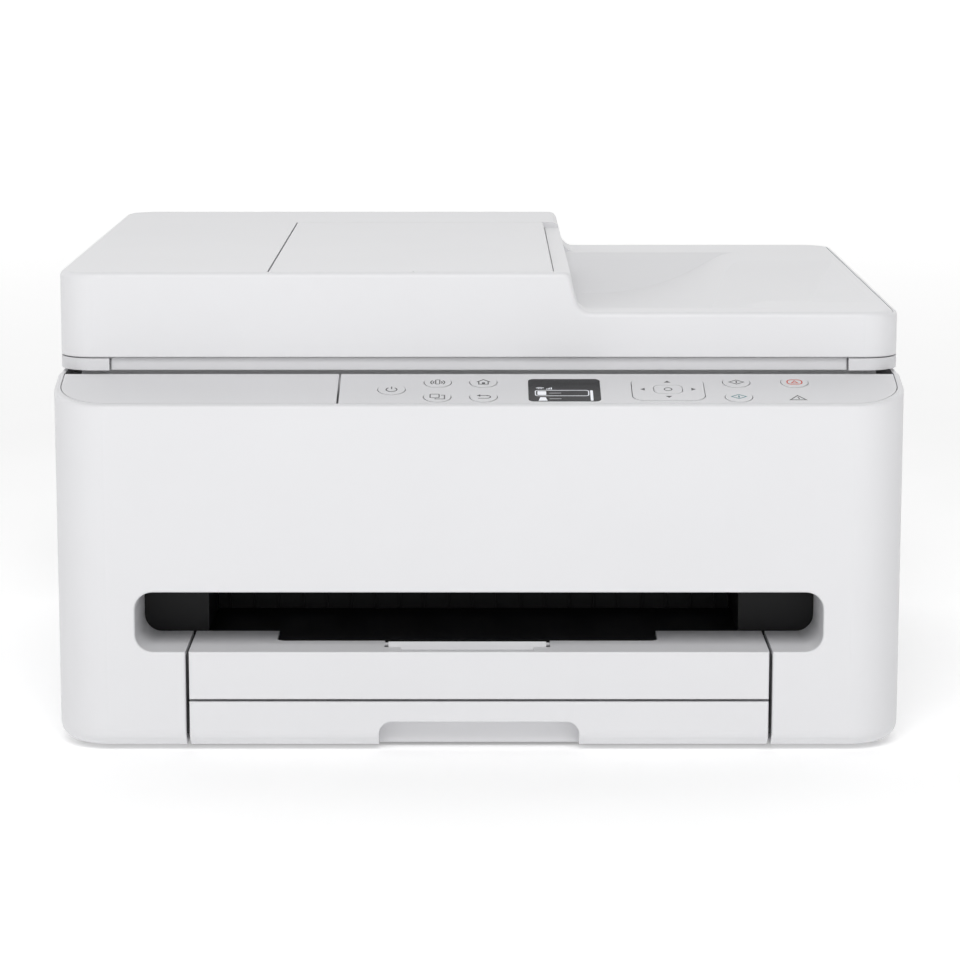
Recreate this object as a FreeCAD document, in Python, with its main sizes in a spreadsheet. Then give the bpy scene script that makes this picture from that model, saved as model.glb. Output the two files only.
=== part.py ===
"""An inkjet printer with a flatbed scanner, a document feeder, an output tray and a paper cassette.

X runs to the right, the front faces -Y and Z is up. The origin is on the floor, below the middle of the case.
All sizes are millimetres and degrees.
"""
import FreeCAD, Part
import math
import os
import re

import Sketcher
from FreeCAD import Placement, Rotation, Vector

# Driving dimensions: each one becomes a named cell of the sheet.
SIZES = {
    # Whole case
    "body_width": 380, "body_depth": 348, "front_height": 155,
    "case_wall": 2.8, "corner_radius": 24, "rear_radius": 12, "bottom_radius": 8, "rear_case_depth": 14,
    "foot_height": 2, "foot_radius": 9, "foot_inset": 38,
    "seam_gap": 0.4, "run_gap": 0.3, "fit_gap": 0.06, "drawer_gap": 1.5,
    # Base
    "floor_lip": 2, "floor_corner": 12, "plate_wall": 2.2, "bay_wall": 2, "rail_height": 27, "rail_wall": 2,
    "rail_width": 3.8,
    # Output tunnel and bay for the two drawers
    "bay_width": 262.4, "tunnel_width": 307, "tunnel_bottom": 44, "tunnel_height": 27, "tunnel_depth": 44,
    "tunnel_radius": 8, "tunnel_wall": 2.2, "mouth_round": 1, "rim_round": 1.6,
    # Operation panel
    "panel_depth": 37, "panel_tilt": 14, "panel_wall": 2.5, "panel_split": -62.6, "panel_split_gap": 1,
    "key_radius": 6, "key_proud": 0.25, "key_flange": 1, "key_travel": 0.7,
    "key_gap": 0.35, "row_front": 10.4, "row_back": 27.5, "row_middle": 19,
    "power_x": -39, "function_left_x": -18.5, "function_right_x": 2, "start_x": 115.3, "stop_x": 141.4,
    "display_x": 38.05, "display_width": 32.1, "display_front": 5.3, "display_length": 26.4,
    "display_radius": 2.5, "display_wall": 2,
    "pad_x": 84.3, "pad_width": 32, "pad_length": 25.6, "pad_radius": 5.5, "ok_width": 12.4, "ok_length": 9.6,
    "ok_radius": 3.2,
    "panel_board_drop": 8, "board_wall": 1.6, "panel_board_left": -52, "panel_board_inset": 25,
    "panel_board_margin": 3.5,
    # Output tray and its support
    "face_depth": 14, "cassette_face_height": 21.1, "face_gap": 1.1, "tray_wall": 2.5, "face_round": 0.8,
    "notch_width": 172.7, "notch_depth": 20.8, "notch_radius": 4,
    "support_x": -5.25, "support_width": 71, "support_front": 10.6, "support_length": 10.8,
    "support_wall": 2.2, "support_gap": 1.8, "support_pin": 0.9, "finger_width": 59.7, "finger_length": 6.9,
    "support_ridge": 7, "support_rise": 1.6, "support_toe": 0.9, "support_round": 0.5,
    "arm_height": 4, "arm_width": 6.2, "arm_reach": 125, "tray_plate": 1.6, "tray_plate_reach": 85,
    # Cassette
    "grip_width": 90, "grip_height": 12.1, "grip_depth": 11, "grip_radius": 6,
    "cassette_height": 14, "cassette_wall": 2, "cassette_floor": 1.7, "cassette_inset": 30,
    "cassette_rear_height": 6, "roller_notch": 60,
    "guide_spread": 108, "guide_wall": 2, "guide_length": 80, "guide_height": 11, "guide_foot": 20,
    "guide_foot_wall": 1.2, "guide_y": -20, "length_guide_width": 32, "length_guide_foot": 26,
    # Black frame round the paper exit
    "exit_left": -124, "exit_right": 119, "exit_wall": 2, "exit_depth": 52, "exit_height": 25.5,
    "exit_panel": 2.6, "exit_drop": 0.5, "exit_floor": 1.6,
    # Chassis, carriage and drive
    "chassis_inset": 14, "sheet_wall": 1.5, "chassis_reach": 260, "chassis_height": 130,
    "plate_drop": 4, "rail_rise": 4, "rail_reach": 8, "flange_reach": 16,
    "belt_rise": 26, "belt_wall": 1.2, "belt_width": 5, "belt_gap": 9, "pulley_inset": 16, "pulley_radius": 6,
    "pulley_pin": 1.5, "motor_radius": 14, "motor_length": 26, "motor_share": 0.6, "shaft_hole": 4,
    "park_gap": 6, "carriage_width": 88, "carriage_inset": 138, "carriage_gap": 11, "carriage_rise": 12.5,
    "carriage_height": 40, "carriage_wall": 3, "head_drop": 9.5, "head_inset": 4, "head_length": 52,
    "hook_height": 11, "cartridge_length": 81, "cartridge_top": 2,
    "paper_z": 62, "feed_inset": 222, "feed_radius": 6, "feed_shaft": 4, "eject_inset": 104,
    "eject_radius": 5.5,
    "eject_shaft": 3, "sleeve_left": -116, "sleeve_right": 104, "nip_gap": 0.3, "pinch_radius": 4,
    "pinch_shaft": 1.5, "pinch_width": 24, "star_radius": 4, "star_width": 1.2, "star_shaft": 1,
    "ring_width": 12, "ring_count": 6,
    "train_radius": 25, "idler_radius": 34, "pinion_radius": 5, "gear_width": 5, "gear_pin": 3,
    "tooth_height": 1.2, "gear_backlash": 0.15, "pinion_shaft": 1.5,
    "platen_inset": 118, "platen_length": 86, "platen_wall": 3, "platen_rib": 1, "station_gap": 2.5,
    "station_inset": 144, "station_length": 52, "station_height": 16, "cap_height": 1, "cap_margin": 4,
    # Pickup
    "pickup_x": -6, "pickup_width": 48, "pickup_cheek": 3, "pickup_pivot_inset": 45, "pickup_pivot_z": 31,
    "pickup_pin": 2, "pickup_barrel": 5, "pickup_reach": 49, "pickup_roller_z": 20.5, "pickup_radius": 9,
    "beam_gap": 13, "beam_depth": 5, "beam_height": 14,
    # Electronics
    "supply_inset": 18, "supply_gap": 4.5, "supply_clear": 6.8, "supply_height": 42, "inlet_inset": 38,
    "inlet_z": 26, "inlet_width": 26, "inlet_height": 20, "inlet_depth": 23, "inlet_pin": 1.2,
    "board_gap": 5.5, "board_length": 140, "board_inset": 6, "board_rise": 3, "board_height": 39,
    "usb_z": 30, "usb_width": 16, "usb_height": 15, "usb_depth": 17, "usb_hole": 8.6,
    # Rear
    "rear_drop": 1.5, "access_width": 224, "access_bottom": 22, "access_height": 88, "access_sill": 1.2,
    "access_pin": 1, "access_rib": 12, "access_rib_wall": 2, "access_ribs": 6,
    "screw_inset": 25, "screw_low": 60, "screw_high": 120, "screw_radius": 3.5, "screw_head": 1.4,
    "screw_shank": 1.5,
    "screw_length": 13,
    # Inner deck
    "deck_wall": 2.2, "deck_opening_side": 50, "deck_opening_inset": 82,
    "deck_opening_length": 158, "deck_lap": 13, "deck_radius": 10,
    # Scanner unit
    "deck_gap": 1.5, "frame_height": 5.4, "lid_corner": 16, "strip_inset": 24,
    "strip_step": 2.2, "strip_groove": 0.8, "tub_depth": 21.7, "tub_side_inset": 10, "tub_front_inset": 6,
    "tub_back_inset": 17, "tub_wall": 2.2, "scan_rail_y": 6, "scan_rail_width": 8, "scan_rail_height": 3.6,
    "glass_width": 312, "glass_front_inset": 31, "glass_back_inset": 50, "glass_wall": 2.8, "glass_seat": 6,
    "scan_bar_inset": 2, "scan_bar_width": 20, "scan_bar_height": 14, "scan_bar_margin": 4,
    "hinge_side_inset": 40, "hinge_inset": 9.5, "hinge_drop": 3.7, "hinge_pin": 2, "hinge_barrel": 4.5,
    "hinge_width": 8.4, "cheek_wall": 3.5,
    # Document cover
    "cover_gap": 0.4, "cover_height": 38.5, "rim_height": 20.5, "cover_wall": 2.5, "cover_round": 2.5,
    "cover_foot_round": 0.8,
    "step_top": 41, "step_bottom": 45.5, "step_round": 4, "step_valley": 7, "cover_plate": 2.4,
    "dish_round": 2.5, "dish_low": 4.5, "dish_rise_run": 42.7, "dish_rise_inset": 59.6, "dish_flare": 14,
    "dish_bend_share": 3.55, "dish_hollow": 9,
    "dish_top_bend": 36, "dish_front_inset": 19, "dish_back_inset": 43, "dish_front_run": 8,
    "dish_back_run": 51,
    "dish_side_bend": 10,
    "scoop_front_inset": 50, "scoop_back_inset": 86, "scoop_depth": 9.2, "scoop_edge_inset": 7.5,
    "scoop_end_run": 34,
    "scoop_lap": 30,
    "groove_inset": 2.6, "groove_width": 0.5, "groove_depth": 0.8, "groove_front": 7, "groove_back": 8,
    "slot_front_inset": 23, "slot_back_inset": 70, "slot_bottom": 12.5, "slot_top": 19.5,
    "lid_hinge_side_inset": 65, "lid_hinge_inset": 7, "lid_hinge_rise": 5.5, "lid_pin": 2.5, "lid_barrel": 5,
    "lid_hinge_width": 14, "pocket_width": 29, "pocket_inset": 26, "pocket_rise": 13.5, "clevis_inset": 25,
    "lower_inset": 33, "feed_deck": 22.5, "feed_deck_wall": 3, "chamber_inset": 40, "rear_hollow": 3,
    # Document tray flap, guides and feeder rollers
    "flap_left": -95, "flap_right": 34, "flap_front_inset": 5.9, "flap_back_inset": 64.9, "flap_wall": 3,
    "flap_gap": 0.8, "flap_pin": 1, "flap_axis_inset": 1.6, "valley_drop": 2.6,
    "lip_right": -30, "lip_length": 2.2, "lip_wall": 2.4,
    "document_margin": 12.1, "document_guide_left": -86, "document_guide_length": 40,
    "document_guide_wall": 2, "document_guide_height": 9, "document_guide_foot": 12,
    "feeder_x": -106, "feeder_radius": 5.5, "feeder_shaft": 2.5, "feeder_length": 80, 
    "feeder_rise": 4.3, "ejector_x": 26, "ejector_z": 10.5, "ejector_radius": 6,
}

# Places and sizes worked out from the driving dimensions.
PLACES = {
    "left": "-body_width/2", "right": "body_width/2", "front": "-body_depth/2", "back": "body_depth/2",
    "base_z": "foot_height", "floor_z": "base_z + case_wall", "plate_z": "floor_z + plate_wall",
    "front_top": "base_z + front_height", "deck_z": "front_top + panel_depth*tan(panel_tilt)",
    "panel_back": "front + panel_depth", "panel_length": "panel_depth/cos(panel_tilt)",
    "case_seam": "back - rear_case_depth", "rear_inner": "back - case_wall",
    "hatch_x": "body_width/2 - bottom_radius - floor_lip", "hatch_front": "front + face_depth + 3.5",
    "hatch_back": "case_seam - bottom_radius",
    "bay_x": "bay_width/2", "face_x": "bay_x - drawer_gap", "tunnel_back": "front + tunnel_depth",
    "tunnel_z": "base_z + tunnel_bottom", "tunnel_top": "tunnel_z + tunnel_height",
    "rail_top": "plate_z + rail_height + rail_wall", "arm_z": "rail_top + run_gap",
    "out_z": "base_z + cassette_face_height + face_gap", "ledge_z": "tunnel_z - tray_wall",
    "notch_front": "tunnel_back - notch_depth", "support_left": "support_x - support_width/2",
    "support_right": "support_x + support_width/2", "support_y": "front + support_front",
    "support_back": "support_y + support_length", "support_axis_y": "support_back - support_wall/2",
    "support_axis_z": "tunnel_z - support_wall/2",
    "cassette_z": "plate_z + run_gap", "cassette_x": "bay_x - 3.2",
    "cassette_inside": "cassette_z + cassette_floor",
    "cassette_front": "front + face_depth", "cassette_back": "back - cassette_inset",
    "exit_front": "tunnel_back + seam_gap", "exit_back": "exit_front + exit_depth",
    "exit_top": "tunnel_z - exit_drop", "exit_bottom": "exit_top - exit_floor",
    "exit_roof": "exit_top + exit_height",
    "chassis_top": "plate_z + chassis_height", "chassis_rear": "chassis_back + sheet_wall",
    "feed_z": "paper_z - feed_radius", "eject_z": "paper_z - eject_radius",
    "pinch_z": "paper_z + nip_gap + pinch_radius", "star_z": "paper_z + nip_gap + star_radius",
    "gear_x": "-chassis_x - sheet_wall - 1.5", "idler_y": "(feed_y + eject_y)/2",
    "idler_z": "(feed_z + eject_z)/2",
    "pinion_y": "feed_y + (train_radius + pinion_radius)*cos(45)",
    "pinion_z": "feed_z - (train_radius + pinion_radius)*sin(45)",
    "carriage_left": "carriage_x - carriage_width/2", "carriage_right": "carriage_x + carriage_width/2",
    "carriage_z": "paper_z + carriage_rise", "carriage_top": "carriage_z + carriage_height",
    "rail_z": "carriage_z + rail_rise", "plate_bottom": "rail_z - plate_drop",
    "belt_z": "carriage_z + belt_rise",
    "access_z": "base_z + access_bottom", "access_axis_z": "access_z + access_sill + case_wall/2",
    "access_axis_y": "back - case_wall/2", "inner_deck_z": "chassis_top",
    "hinge_y": "back - hinge_inset", "hinge_z": "deck_z - hinge_drop",
    "scan_z": "deck_z + deck_gap", "scan_top": "scan_z + frame_height", "tub_z": "scan_z - tub_depth",
    "cover_z": "scan_top + cover_gap", "cover_top": "cover_z + cover_height", "rim_z": "cover_z + rim_height",
    "cover_inside": "cover_z + cover_wall", "dish_z": "cover_z + dish_low",
    "lid_hinge_z": "cover_z + lid_hinge_rise", "feed_deck_z": "cover_z + feed_deck",
    "chamber_z": "feed_deck_z + feed_deck_wall", "flap_z": "cover_top - flap_wall",
    "flap_axis_x": "flap_right - flap_axis_inset", "flap_axis_z": "cover_top - flap_wall/2",
    "feeder_z": "chamber_z + feeder_rise",
    "tub_back": "back - tub_back_inset",
    "tub_front": "panel_back + tub_front_inset",
    "tub_x": "right - tub_side_inset",
    "frame_rear": "case_seam",
    "glass_front": "panel_back + glass_front_inset",
    "glass_back": "back - glass_back_inset",
    "lid_hinge_y": "back - lid_hinge_inset",
    "pocket_front": "back - pocket_inset",
    "clevis_front": "back - clevis_inset",
    "lower_back": "back - lower_inset",
    "flap_front": "panel_back + flap_front_inset",
    "flap_back": "back - flap_back_inset",
    "dish_front": "panel_back + dish_front_inset",
    "dish_back": "back - dish_back_inset",
    "dish_front_floor": "dish_front + dish_front_run",
    "dish_back_floor": "dish_back - dish_back_run",
    "slot_front": "panel_back + slot_front_inset",
    "slot_back": "back - slot_back_inset",
    "document_middle": "(flap_front + flap_back)/2",
    "document_width": "flap_back - flap_front - 2*document_margin",
    "feeder_front": "document_middle - feeder_length/2",
    "feeder_back": "document_middle + feeder_length/2",
    "deck_front": "panel_back - deck_lap",
    "deck_opening_front": "front + deck_opening_inset",
    "deck_opening_back": "deck_opening_front + deck_opening_length",
    "deck_opening_left": "left + deck_opening_side",
    "deck_opening_right": "right - deck_opening_side",
    "chassis_back": "front + chassis_reach",
    "chassis_x": "right - chassis_inset",
    "feed_motor_length": "motor_share*(chassis_x - bay_x - run_gap - bay_wall)",
    "feed_y": "front + feed_inset",
    "eject_y": "front + eject_inset",
    "platen_front": "front + platen_inset",
    "platen_back": "platen_front + platen_length",
    "station_front": "front + station_inset",
    "station_back": "station_front + station_length",
    "station_x": "sleeve_right + station_gap",
    "carriage_front": "front + carriage_inset",
    "carriage_back": "chassis_back - carriage_gap",
    "head_front": "carriage_front + head_inset",
    "head_back": "head_front + head_length",
    "cartridge_back": "carriage_front + cartridge_length",
    "belt_y": "chassis_back - belt_gap",
    "pulley_x": "chassis_x - pulley_inset",
    "carriage_x": "chassis_x - carriage_width/2 - park_gap",
    "pickup_pivot_y": "cassette_back - pickup_pivot_inset",
    "pickup_roller_y": "pickup_pivot_y - pickup_reach",
    "beam_y": "pickup_pivot_y + beam_gap",
    "supply_left": "left + supply_inset",
    "supply_right": "-bay_x - run_gap - bay_wall - supply_gap",
    "supply_front": "pinion_y + motor_radius + supply_clear",
    "inlet_x": "left + inlet_inset",
    "board_x": "bay_x + run_gap + bay_wall + board_gap",
    "board_back": "back - board_inset",
    "board_front": "board_back - board_length",
    "hinge_x": "right - hinge_side_inset",
    "lid_hinge_x": "right - lid_hinge_side_inset",
    "strip_half": "right - strip_inset",
    "screw_x": "right - screw_inset",
    "panel_board_right": "right - panel_board_inset",
    "dish_rise_end": "right - dish_rise_inset",
    "dish_rise_start": "dish_rise_end - dish_rise_run",
    "dish_bend": "dish_bend_share*(dish_rise_start - step_bottom)",
    "scoop_front": "panel_back + scoop_front_inset",
    "scoop_back": "back - scoop_back_inset",
    "scoop_z": "rim_z - scoop_depth",
    "scoop_edge": "right - scoop_edge_inset",
    "scoop_foot": "scoop_edge - scoop_end_run",
    "chamber_left": "left + chamber_inset",
    "scan_bar_x": "-glass_width/2 - scan_bar_inset",
    "bay_back": "back - inlet_depth - drawer_gap",
}

doc = FreeCAD.newDocument("InkjetPrinter")
sheet = doc.addObject("Spreadsheet::Sheet", "Sizes")
for row, (alias, size) in enumerate(SIZES.items(), start=1):
    sheet.set(f"A{row}", alias)
    sheet.set(f"B{row}", str(size))
    sheet.setAlias(f"B{row}", alias)
doc.recompute()

SUB_PARTS = {}
WORD = re.compile(r"[A-Za-z_]\w*")
# How each padding axis is drawn: the origin plane, and whether the pad has to run against its normal.
DRAWING_PLANES = {"x": ("YZ_Plane", False), "y": ("XZ_Plane", True), "z": ("XY_Plane", False)}
AXES = {"x": Vector(1, 0, 0), "y": Vector(0, 1, 0), "z": Vector(0, 0, 1)}
# How a cylinder, which stands along Z, is turned to lie along each axis.
TURNS = {"x": Rotation(AXES["y"], 90), "y": Rotation(AXES["x"], -90), "z": Rotation()}
OVERRUN = 2  # how far a cutting tool reaches past the face it opens
TOUCH = 1e-4  # two coordinates closer than this are the same


def formula(text):
    """Spell a formula out: a place becomes its own formula, and a size becomes its cell."""
    def spell(match):
        word = match.group()
        if word in PLACES:
            return f"({formula(PLACES[word])})"
        return f"Sizes.{word}" if word in SIZES else word
    return WORD.sub(spell, str(text))


def value(text):
    """The number that a formula comes to."""
    return float(sheet.evalExpression(formula(text)))


def bind(thing, **properties):
    """Tie properties to formulas; a double underscore in a property's name stands for a dot."""
    for name, text in properties.items():
        thing.setExpression(name.replace("__", "."), formula(text))
    return thing


def put(thing, x, y, z):
    """Tie the place of a thing's own origin to formulas."""
    return bind(thing, Placement__Base__x=x, Placement__Base__y=y, Placement__Base__z=z)


def box(name, x0, x1, y0, y1, z0, z1):
    """A block between two corners."""
    solid = doc.addObject("Part::Box", name)
    bind(solid, Length=f"({x1}) - ({x0})", Width=f"({y1}) - ({y0})", Height=f"({z1}) - ({z0})")
    return put(solid, x0, y0, z0)


def boxes_both_sides(name, x0, x1, *rest):
    """The same block on the right and, mirrored, on the left."""
    return [box(f"{name}_right", x0, x1, *rest), box(f"{name}_left", f"-({x1})", f"-({x0})", *rest)]


def rod(name, axis, radius, start, end, first, second):
    """A cylinder along an axis, with its centre line at a place on each other axis, in the order x, y, z."""
    solid = doc.addObject("Part::Cylinder", name)
    solid.Placement = Placement(Vector(), TURNS[axis])
    bind(solid, Radius=radius, Height=f"({end}) - ({start})")
    places = {"x": (start, first, second), "y": (first, start, second), "z": (first, second, start)}
    return put(solid, *places[axis])


def rectangle(u0, u1, v0, v1):
    """The four corners of a rectangle."""
    return [(u0, v0), (u1, v0), (u1, v1), (u0, v1)]


def add_pad(body, name, axis, corners, start, end):
    """Pad a polygon of formulas, drawn on the two other axes, along an axis of a body."""
    role, against = DRAWING_PLANES[axis]
    sketch = body.newObject("Sketcher::SketchObject", f"{name}_sketch")
    sketch.AttachmentSupport = [(next(f for f in body.Origin.OriginFeatures if f.Role == role), "")]
    sketch.MapMode = "FlatFace"
    bind(sketch, AttachmentOffset__Base__z=f"-({start})" if against else start)
    points = [Vector(value(u), value(v), 0) for u, v in corners]
    following = points[1:] + points[:1]
    sketch.addGeometry([Part.LineSegment(a, b) for a, b in zip(points, following)])
    for side in range(len(points)):
        sketch.addConstraint(Sketcher.Constraint("Coincident", side, 2, (side + 1) % len(points), 1))
    for side, (corner, point) in enumerate(zip(corners, points)):
        for kind, text, size in zip(("DistanceX", "DistanceY"), corner, point):
            number = sketch.addConstraint(Sketcher.Constraint(kind, -1, 1, side, 1, size))
            sketch.setExpression(f"Constraints[{number}]", formula(text))
    pad = body.newObject("PartDesign::Pad", f"{name}_pad")
    pad.Profile = sketch
    pad.Reversed = against
    bind(pad, Length=f"({end}) - ({start})")
    return body


def prism(name, axis, corners, start, end):
    """A new body with one pad."""
    return add_pad(doc.addObject("PartDesign::Body", name), name, axis, corners, start, end)


def runs_along(edge, axis):
    """Whether an edge is straight and parallel to an axis."""
    ends = [v.Point for v in edge.Vertexes]
    return len(ends) == 2 and edge.Curve.TypeId == "Part::GeomLine" and (
        abs(abs((ends[1] - ends[0]).normalize().dot(AXES[axis])) - 1) < TOUCH)


def lies_at(edge, axis, text):
    """Whether a whole edge lies in the plane square to an axis at a place."""
    place = value(text)
    points = [v.Point for v in edge.Vertexes] + [edge.valueAt((edge.FirstParameter + edge.LastParameter) / 2)]
    return all(abs(p.dot(AXES[axis]) - place) < TOUCH for p in points)


def round_edges(body, radius, chosen):
    """Fillet the edges of a body, as far as it is made, that a test chooses."""
    doc.recompute()
    last = body.Tip
    edges = [f"Edge{n}" for n, edge in enumerate(last.Shape.Edges, start=1) if chosen(edge)]
    fillet = body.newObject("PartDesign::Fillet", f"{body.Name}_round")
    fillet.Base = (last, edges)
    bind(fillet, Radius=radius)
    doc.recompute()
    return body


def rounded_prism(name, axis, corners, start, end, radius):
    """A prism whose edges along its axis are all rounded."""
    return round_edges(prism(name, axis, corners, start, end), radius, lambda edge: runs_along(edge, axis))


def fuse(name, *solids):
    """Several solids joined into one."""
    joined = doc.addObject("Part::MultiFuse", name)
    joined.Shapes = list(solids)
    joined.Refine = True
    return joined


def cut(name, solid, *tools):
    """A solid with other solids taken away."""
    rest = doc.addObject("Part::Cut", name)
    rest.Base = solid
    rest.Tool = tools[0] if len(tools) == 1 else fuse(f"{name}_tools", *tools)
    rest.Refine = True
    return rest


def common(name, first, second):
    """What two solids share."""
    shared = doc.addObject("Part::Common", name)
    shared.Base = first
    shared.Tool = second
    return shared


def group(name, solids):
    """Like pieces kept as separate solids under one name."""
    together = doc.addObject("Part::Compound", name)
    together.Links = list(solids)
    return together


def sub_part(label, thing):
    """Name a finished sub-part."""
    thing.Label = label
    SUB_PARTS[label] = thing
    return thing


def on_panel(thing, u, s, n):
    """Set a thing's origin on the sloping panel: u to the right, s up the slope and n out of it."""
    thing.Placement = Placement(Vector(), Rotation(AXES["x"], 1))
    bind(thing, Placement__Rotation__Angle="panel_tilt")
    return put(thing, u, f"front + ({s})*cos(panel_tilt) - ({n})*sin(panel_tilt)",
               f"front_top + ({s})*sin(panel_tilt) + ({n})*cos(panel_tilt)")


def panel_box(name, u0, u1, s0, s1, n0, n1):
    """A block that lies along the sloping panel."""
    solid = doc.addObject("Part::Box", name)
    bind(solid, Length=f"({u1}) - ({u0})", Width=f"({s1}) - ({s0})", Height=f"({n1}) - ({n0})")
    return on_panel(solid, u0, s0, n0)


def panel_plate(name, u0, u1, s0, s1, n0, n1, radius):
    """A block with rounded upright edges that lies along the sloping panel."""
    return on_panel(rounded_prism(name, "z", rectangle(u0, u1, s0, s1), n0, n1, radius), "0", "0", "0")


def panel_rod(name, radius, u, s, n0, n1):
    """A cylinder that stands square on the sloping panel."""
    solid = doc.addObject("Part::Cylinder", name)
    bind(solid, Radius=radius, Height=f"({n1}) - ({n0})")
    return on_panel(solid, u, s, n0)


def gear_disc(name, x0, x1, y, z, pitch, teeth, bore=None):
    """A spur gear across X whose tooth tips stay inside the pitch circle, so that meshing pairs run free."""
    tip = value(f"{pitch} - gear_backlash")
    root = tip - value("tooth_height")
    step = 2 * math.pi / teeth
    outline = []
    for tooth in range(teeth):
        for share, radius in ((0.0, root), (0.15, tip), (0.4, tip), (0.55, root)):
            angle = (tooth + share) * step
            outline.append(Vector(0, radius * math.cos(angle), radius * math.sin(angle)))
    disc = Part.Face(Part.makePolygon(outline + outline[:1])).extrude(Vector(value(x1) - value(x0), 0, 0))
    if bore:
        disc = disc.cut(Part.makeCylinder(value(bore), value(x1) - value(x0), Vector(), AXES["x"]))
    solid = doc.addObject("Part::Feature", name)
    solid.Shape = disc
    solid.Placement = Placement(Vector(value(x0), value(y), value(z)), Rotation())
    return solid


# Outer case: one wrap-round moulding with the sloped front shoulder and the output tunnel.
def round_case(body, inset):
    """Round the upright and bottom edges of a block of the case that is drawn in by a wall."""
    round_edges(body, f"corner_radius - {inset}", lambda e: runs_along(e, "z") and e.CenterOfMass.y < 0)
    round_edges(body, f"rear_radius - {inset}", lambda e: runs_along(e, "z") and e.CenterOfMass.y > 0)
    return round_edges(body, f"bottom_radius - {inset}", lambda e: lies_at(e, "z", f"base_z + {inset}"))


def on_shoulder(edge):
    """Whether an edge runs round the top of the case, over the slope and the flat."""
    crease = runs_along(edge, "x") and lies_at(edge, "y", "panel_back")
    return not crease and not runs_along(edge, "z") and edge.BoundBox.ZMin > value("front_top") - TOUCH


side_view = [("front", "base_z"), ("back", "base_z"), ("back", "deck_z"), ("panel_back", "deck_z"),
             ("front", "front_top")]
case_outside = round_case(prism("case_outside", "x", side_view, "left", "right"), 0)
round_edges(case_outside, "rim_round", on_shoulder)
case_inside = prism("case_inside", "z", rectangle("left + case_wall", "right - case_wall",
                                                  "front + case_wall", "back - case_wall"),
                    "base_z + case_wall", f"deck_z + {OVERRUN}")
round_case(case_inside, "case_wall")
hatch = box("hatch", "-hatch_x", "hatch_x", "hatch_front", "hatch_back", f"base_z - {OVERRUN}",
            f"floor_z + {OVERRUN}")
skin = cut("case_skin", case_outside, case_inside, hatch)
front_zone = box("front_zone", f"left - {OVERRUN}", f"right + {OVERRUN}", f"front - {OVERRUN}", "case_seam",
                 "0", f"deck_z + {OVERRUN}")
tunnel_shell = rounded_prism("tunnel_shell", "y",
                             rectangle("-tunnel_width/2 - tunnel_wall", "tunnel_width/2 + tunnel_wall",
                                       "tunnel_z - tunnel_wall", "tunnel_top + tunnel_wall"),
                             "front + case_wall/2", "tunnel_back", "tunnel_radius + tunnel_wall")
mouth_outline = [("-bay_x", f"base_z - {OVERRUN}"), ("bay_x", f"base_z - {OVERRUN}"), ("bay_x", "tunnel_z"),
                 ("tunnel_width/2", "tunnel_z"), ("tunnel_width/2", "tunnel_top"),
                 ("-tunnel_width/2", "tunnel_top"),
                 ("-tunnel_width/2", "tunnel_z"), ("-bay_x", "tunnel_z")]
mouth = prism("mouth", "y", mouth_outline, f"front - {OVERRUN}", f"tunnel_back + {OVERRUN}")
round_edges(mouth, "tunnel_radius",
            lambda e: runs_along(e, "y") and abs(e.CenterOfMass.x) > value("bay_x") + TOUCH)
add_pad(mouth, "mouth_apron", "y",
        rectangle("-tunnel_width/2 - tunnel_wall", "tunnel_width/2 + tunnel_wall", f"base_z - {OVERRUN}",
                                             "tunnel_top + tunnel_wall"), f"front - 2*{OVERRUN}", "front")
round_edges(mouth, "mouth_round", lambda e: lies_at(e, "y", "front") and (
    max(abs(v.X) for v in e.Vertexes) < value("tunnel_width/2 + tunnel_wall") - TOUCH))
sub_part("outer_case", cut("outer_case", fuse("case_with_tunnel", common("case_front", skin, front_zone),
                                              tunnel_shell), mouth))

# Rear case: the back wall with the hinge cheeks, the access opening and the sockets.
rear_zone = box("rear_zone", f"left - {OVERRUN}", f"right + {OVERRUN}", "case_seam + seam_gap",
                f"back + {OVERRUN}",
                "0", "deck_z - rear_drop")
cheeks = []
for sign in ("-", ""):
    for side in ("-", "+"):
        middle = f"{sign}hinge_x {side} (hinge_width/2 + run_gap + cheek_wall/2)"
        cheeks.append(box("hinge_cheek", f"{middle} - cheek_wall/2", f"{middle} + cheek_wall/2",
                          "case_seam + seam_gap",
                          "rear_inner + case_wall/2", "hinge_z - 3*hinge_barrel", "hinge_z + hinge_pin + 1"))
    reach = "hinge_width/2 + run_gap + cheek_wall"
    cheeks.append(rod("hinge_pin_rod", "x", "hinge_pin", f"{sign}hinge_x - ({reach})",
                      f"{sign}hinge_x + {reach}",
                      "hinge_y", "hinge_z"))
access_space = box("access_space", "-access_width/2", "access_width/2", f"rear_inner - {OVERRUN}",
                   f"back + {OVERRUN}",
                   "access_z", "access_z + access_height")
access_bores = rod("access_bores", "x", "access_pin + fit_gap", "-access_width/2 - 4", "access_width/2 + 4",
                   "access_axis_y", "access_axis_z")
inlet_space = box("inlet_space", "inlet_x - inlet_width/2 - run_gap", "inlet_x + inlet_width/2 + run_gap",
                  f"rear_inner - {OVERRUN}", f"back + {OVERRUN}",
                  "base_z + inlet_z - inlet_height/2 - run_gap",
                  "base_z + inlet_z + inlet_height/2 + run_gap")
usb_space = box("usb_space", "board_x + board_wall - run_gap", "board_x + board_wall + usb_width + run_gap",
                f"rear_inner - {OVERRUN}", f"back + {OVERRUN}", "base_z + usb_z - usb_height/2 - run_gap",
                "base_z + usb_z + usb_height/2 + run_gap")
SCREW_PLACES = [(x, z) for x in ("-screw_x", "screw_x") for z in ("base_z + screw_low",
                                                                  "base_z + screw_high")]
screw_spaces = []
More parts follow.
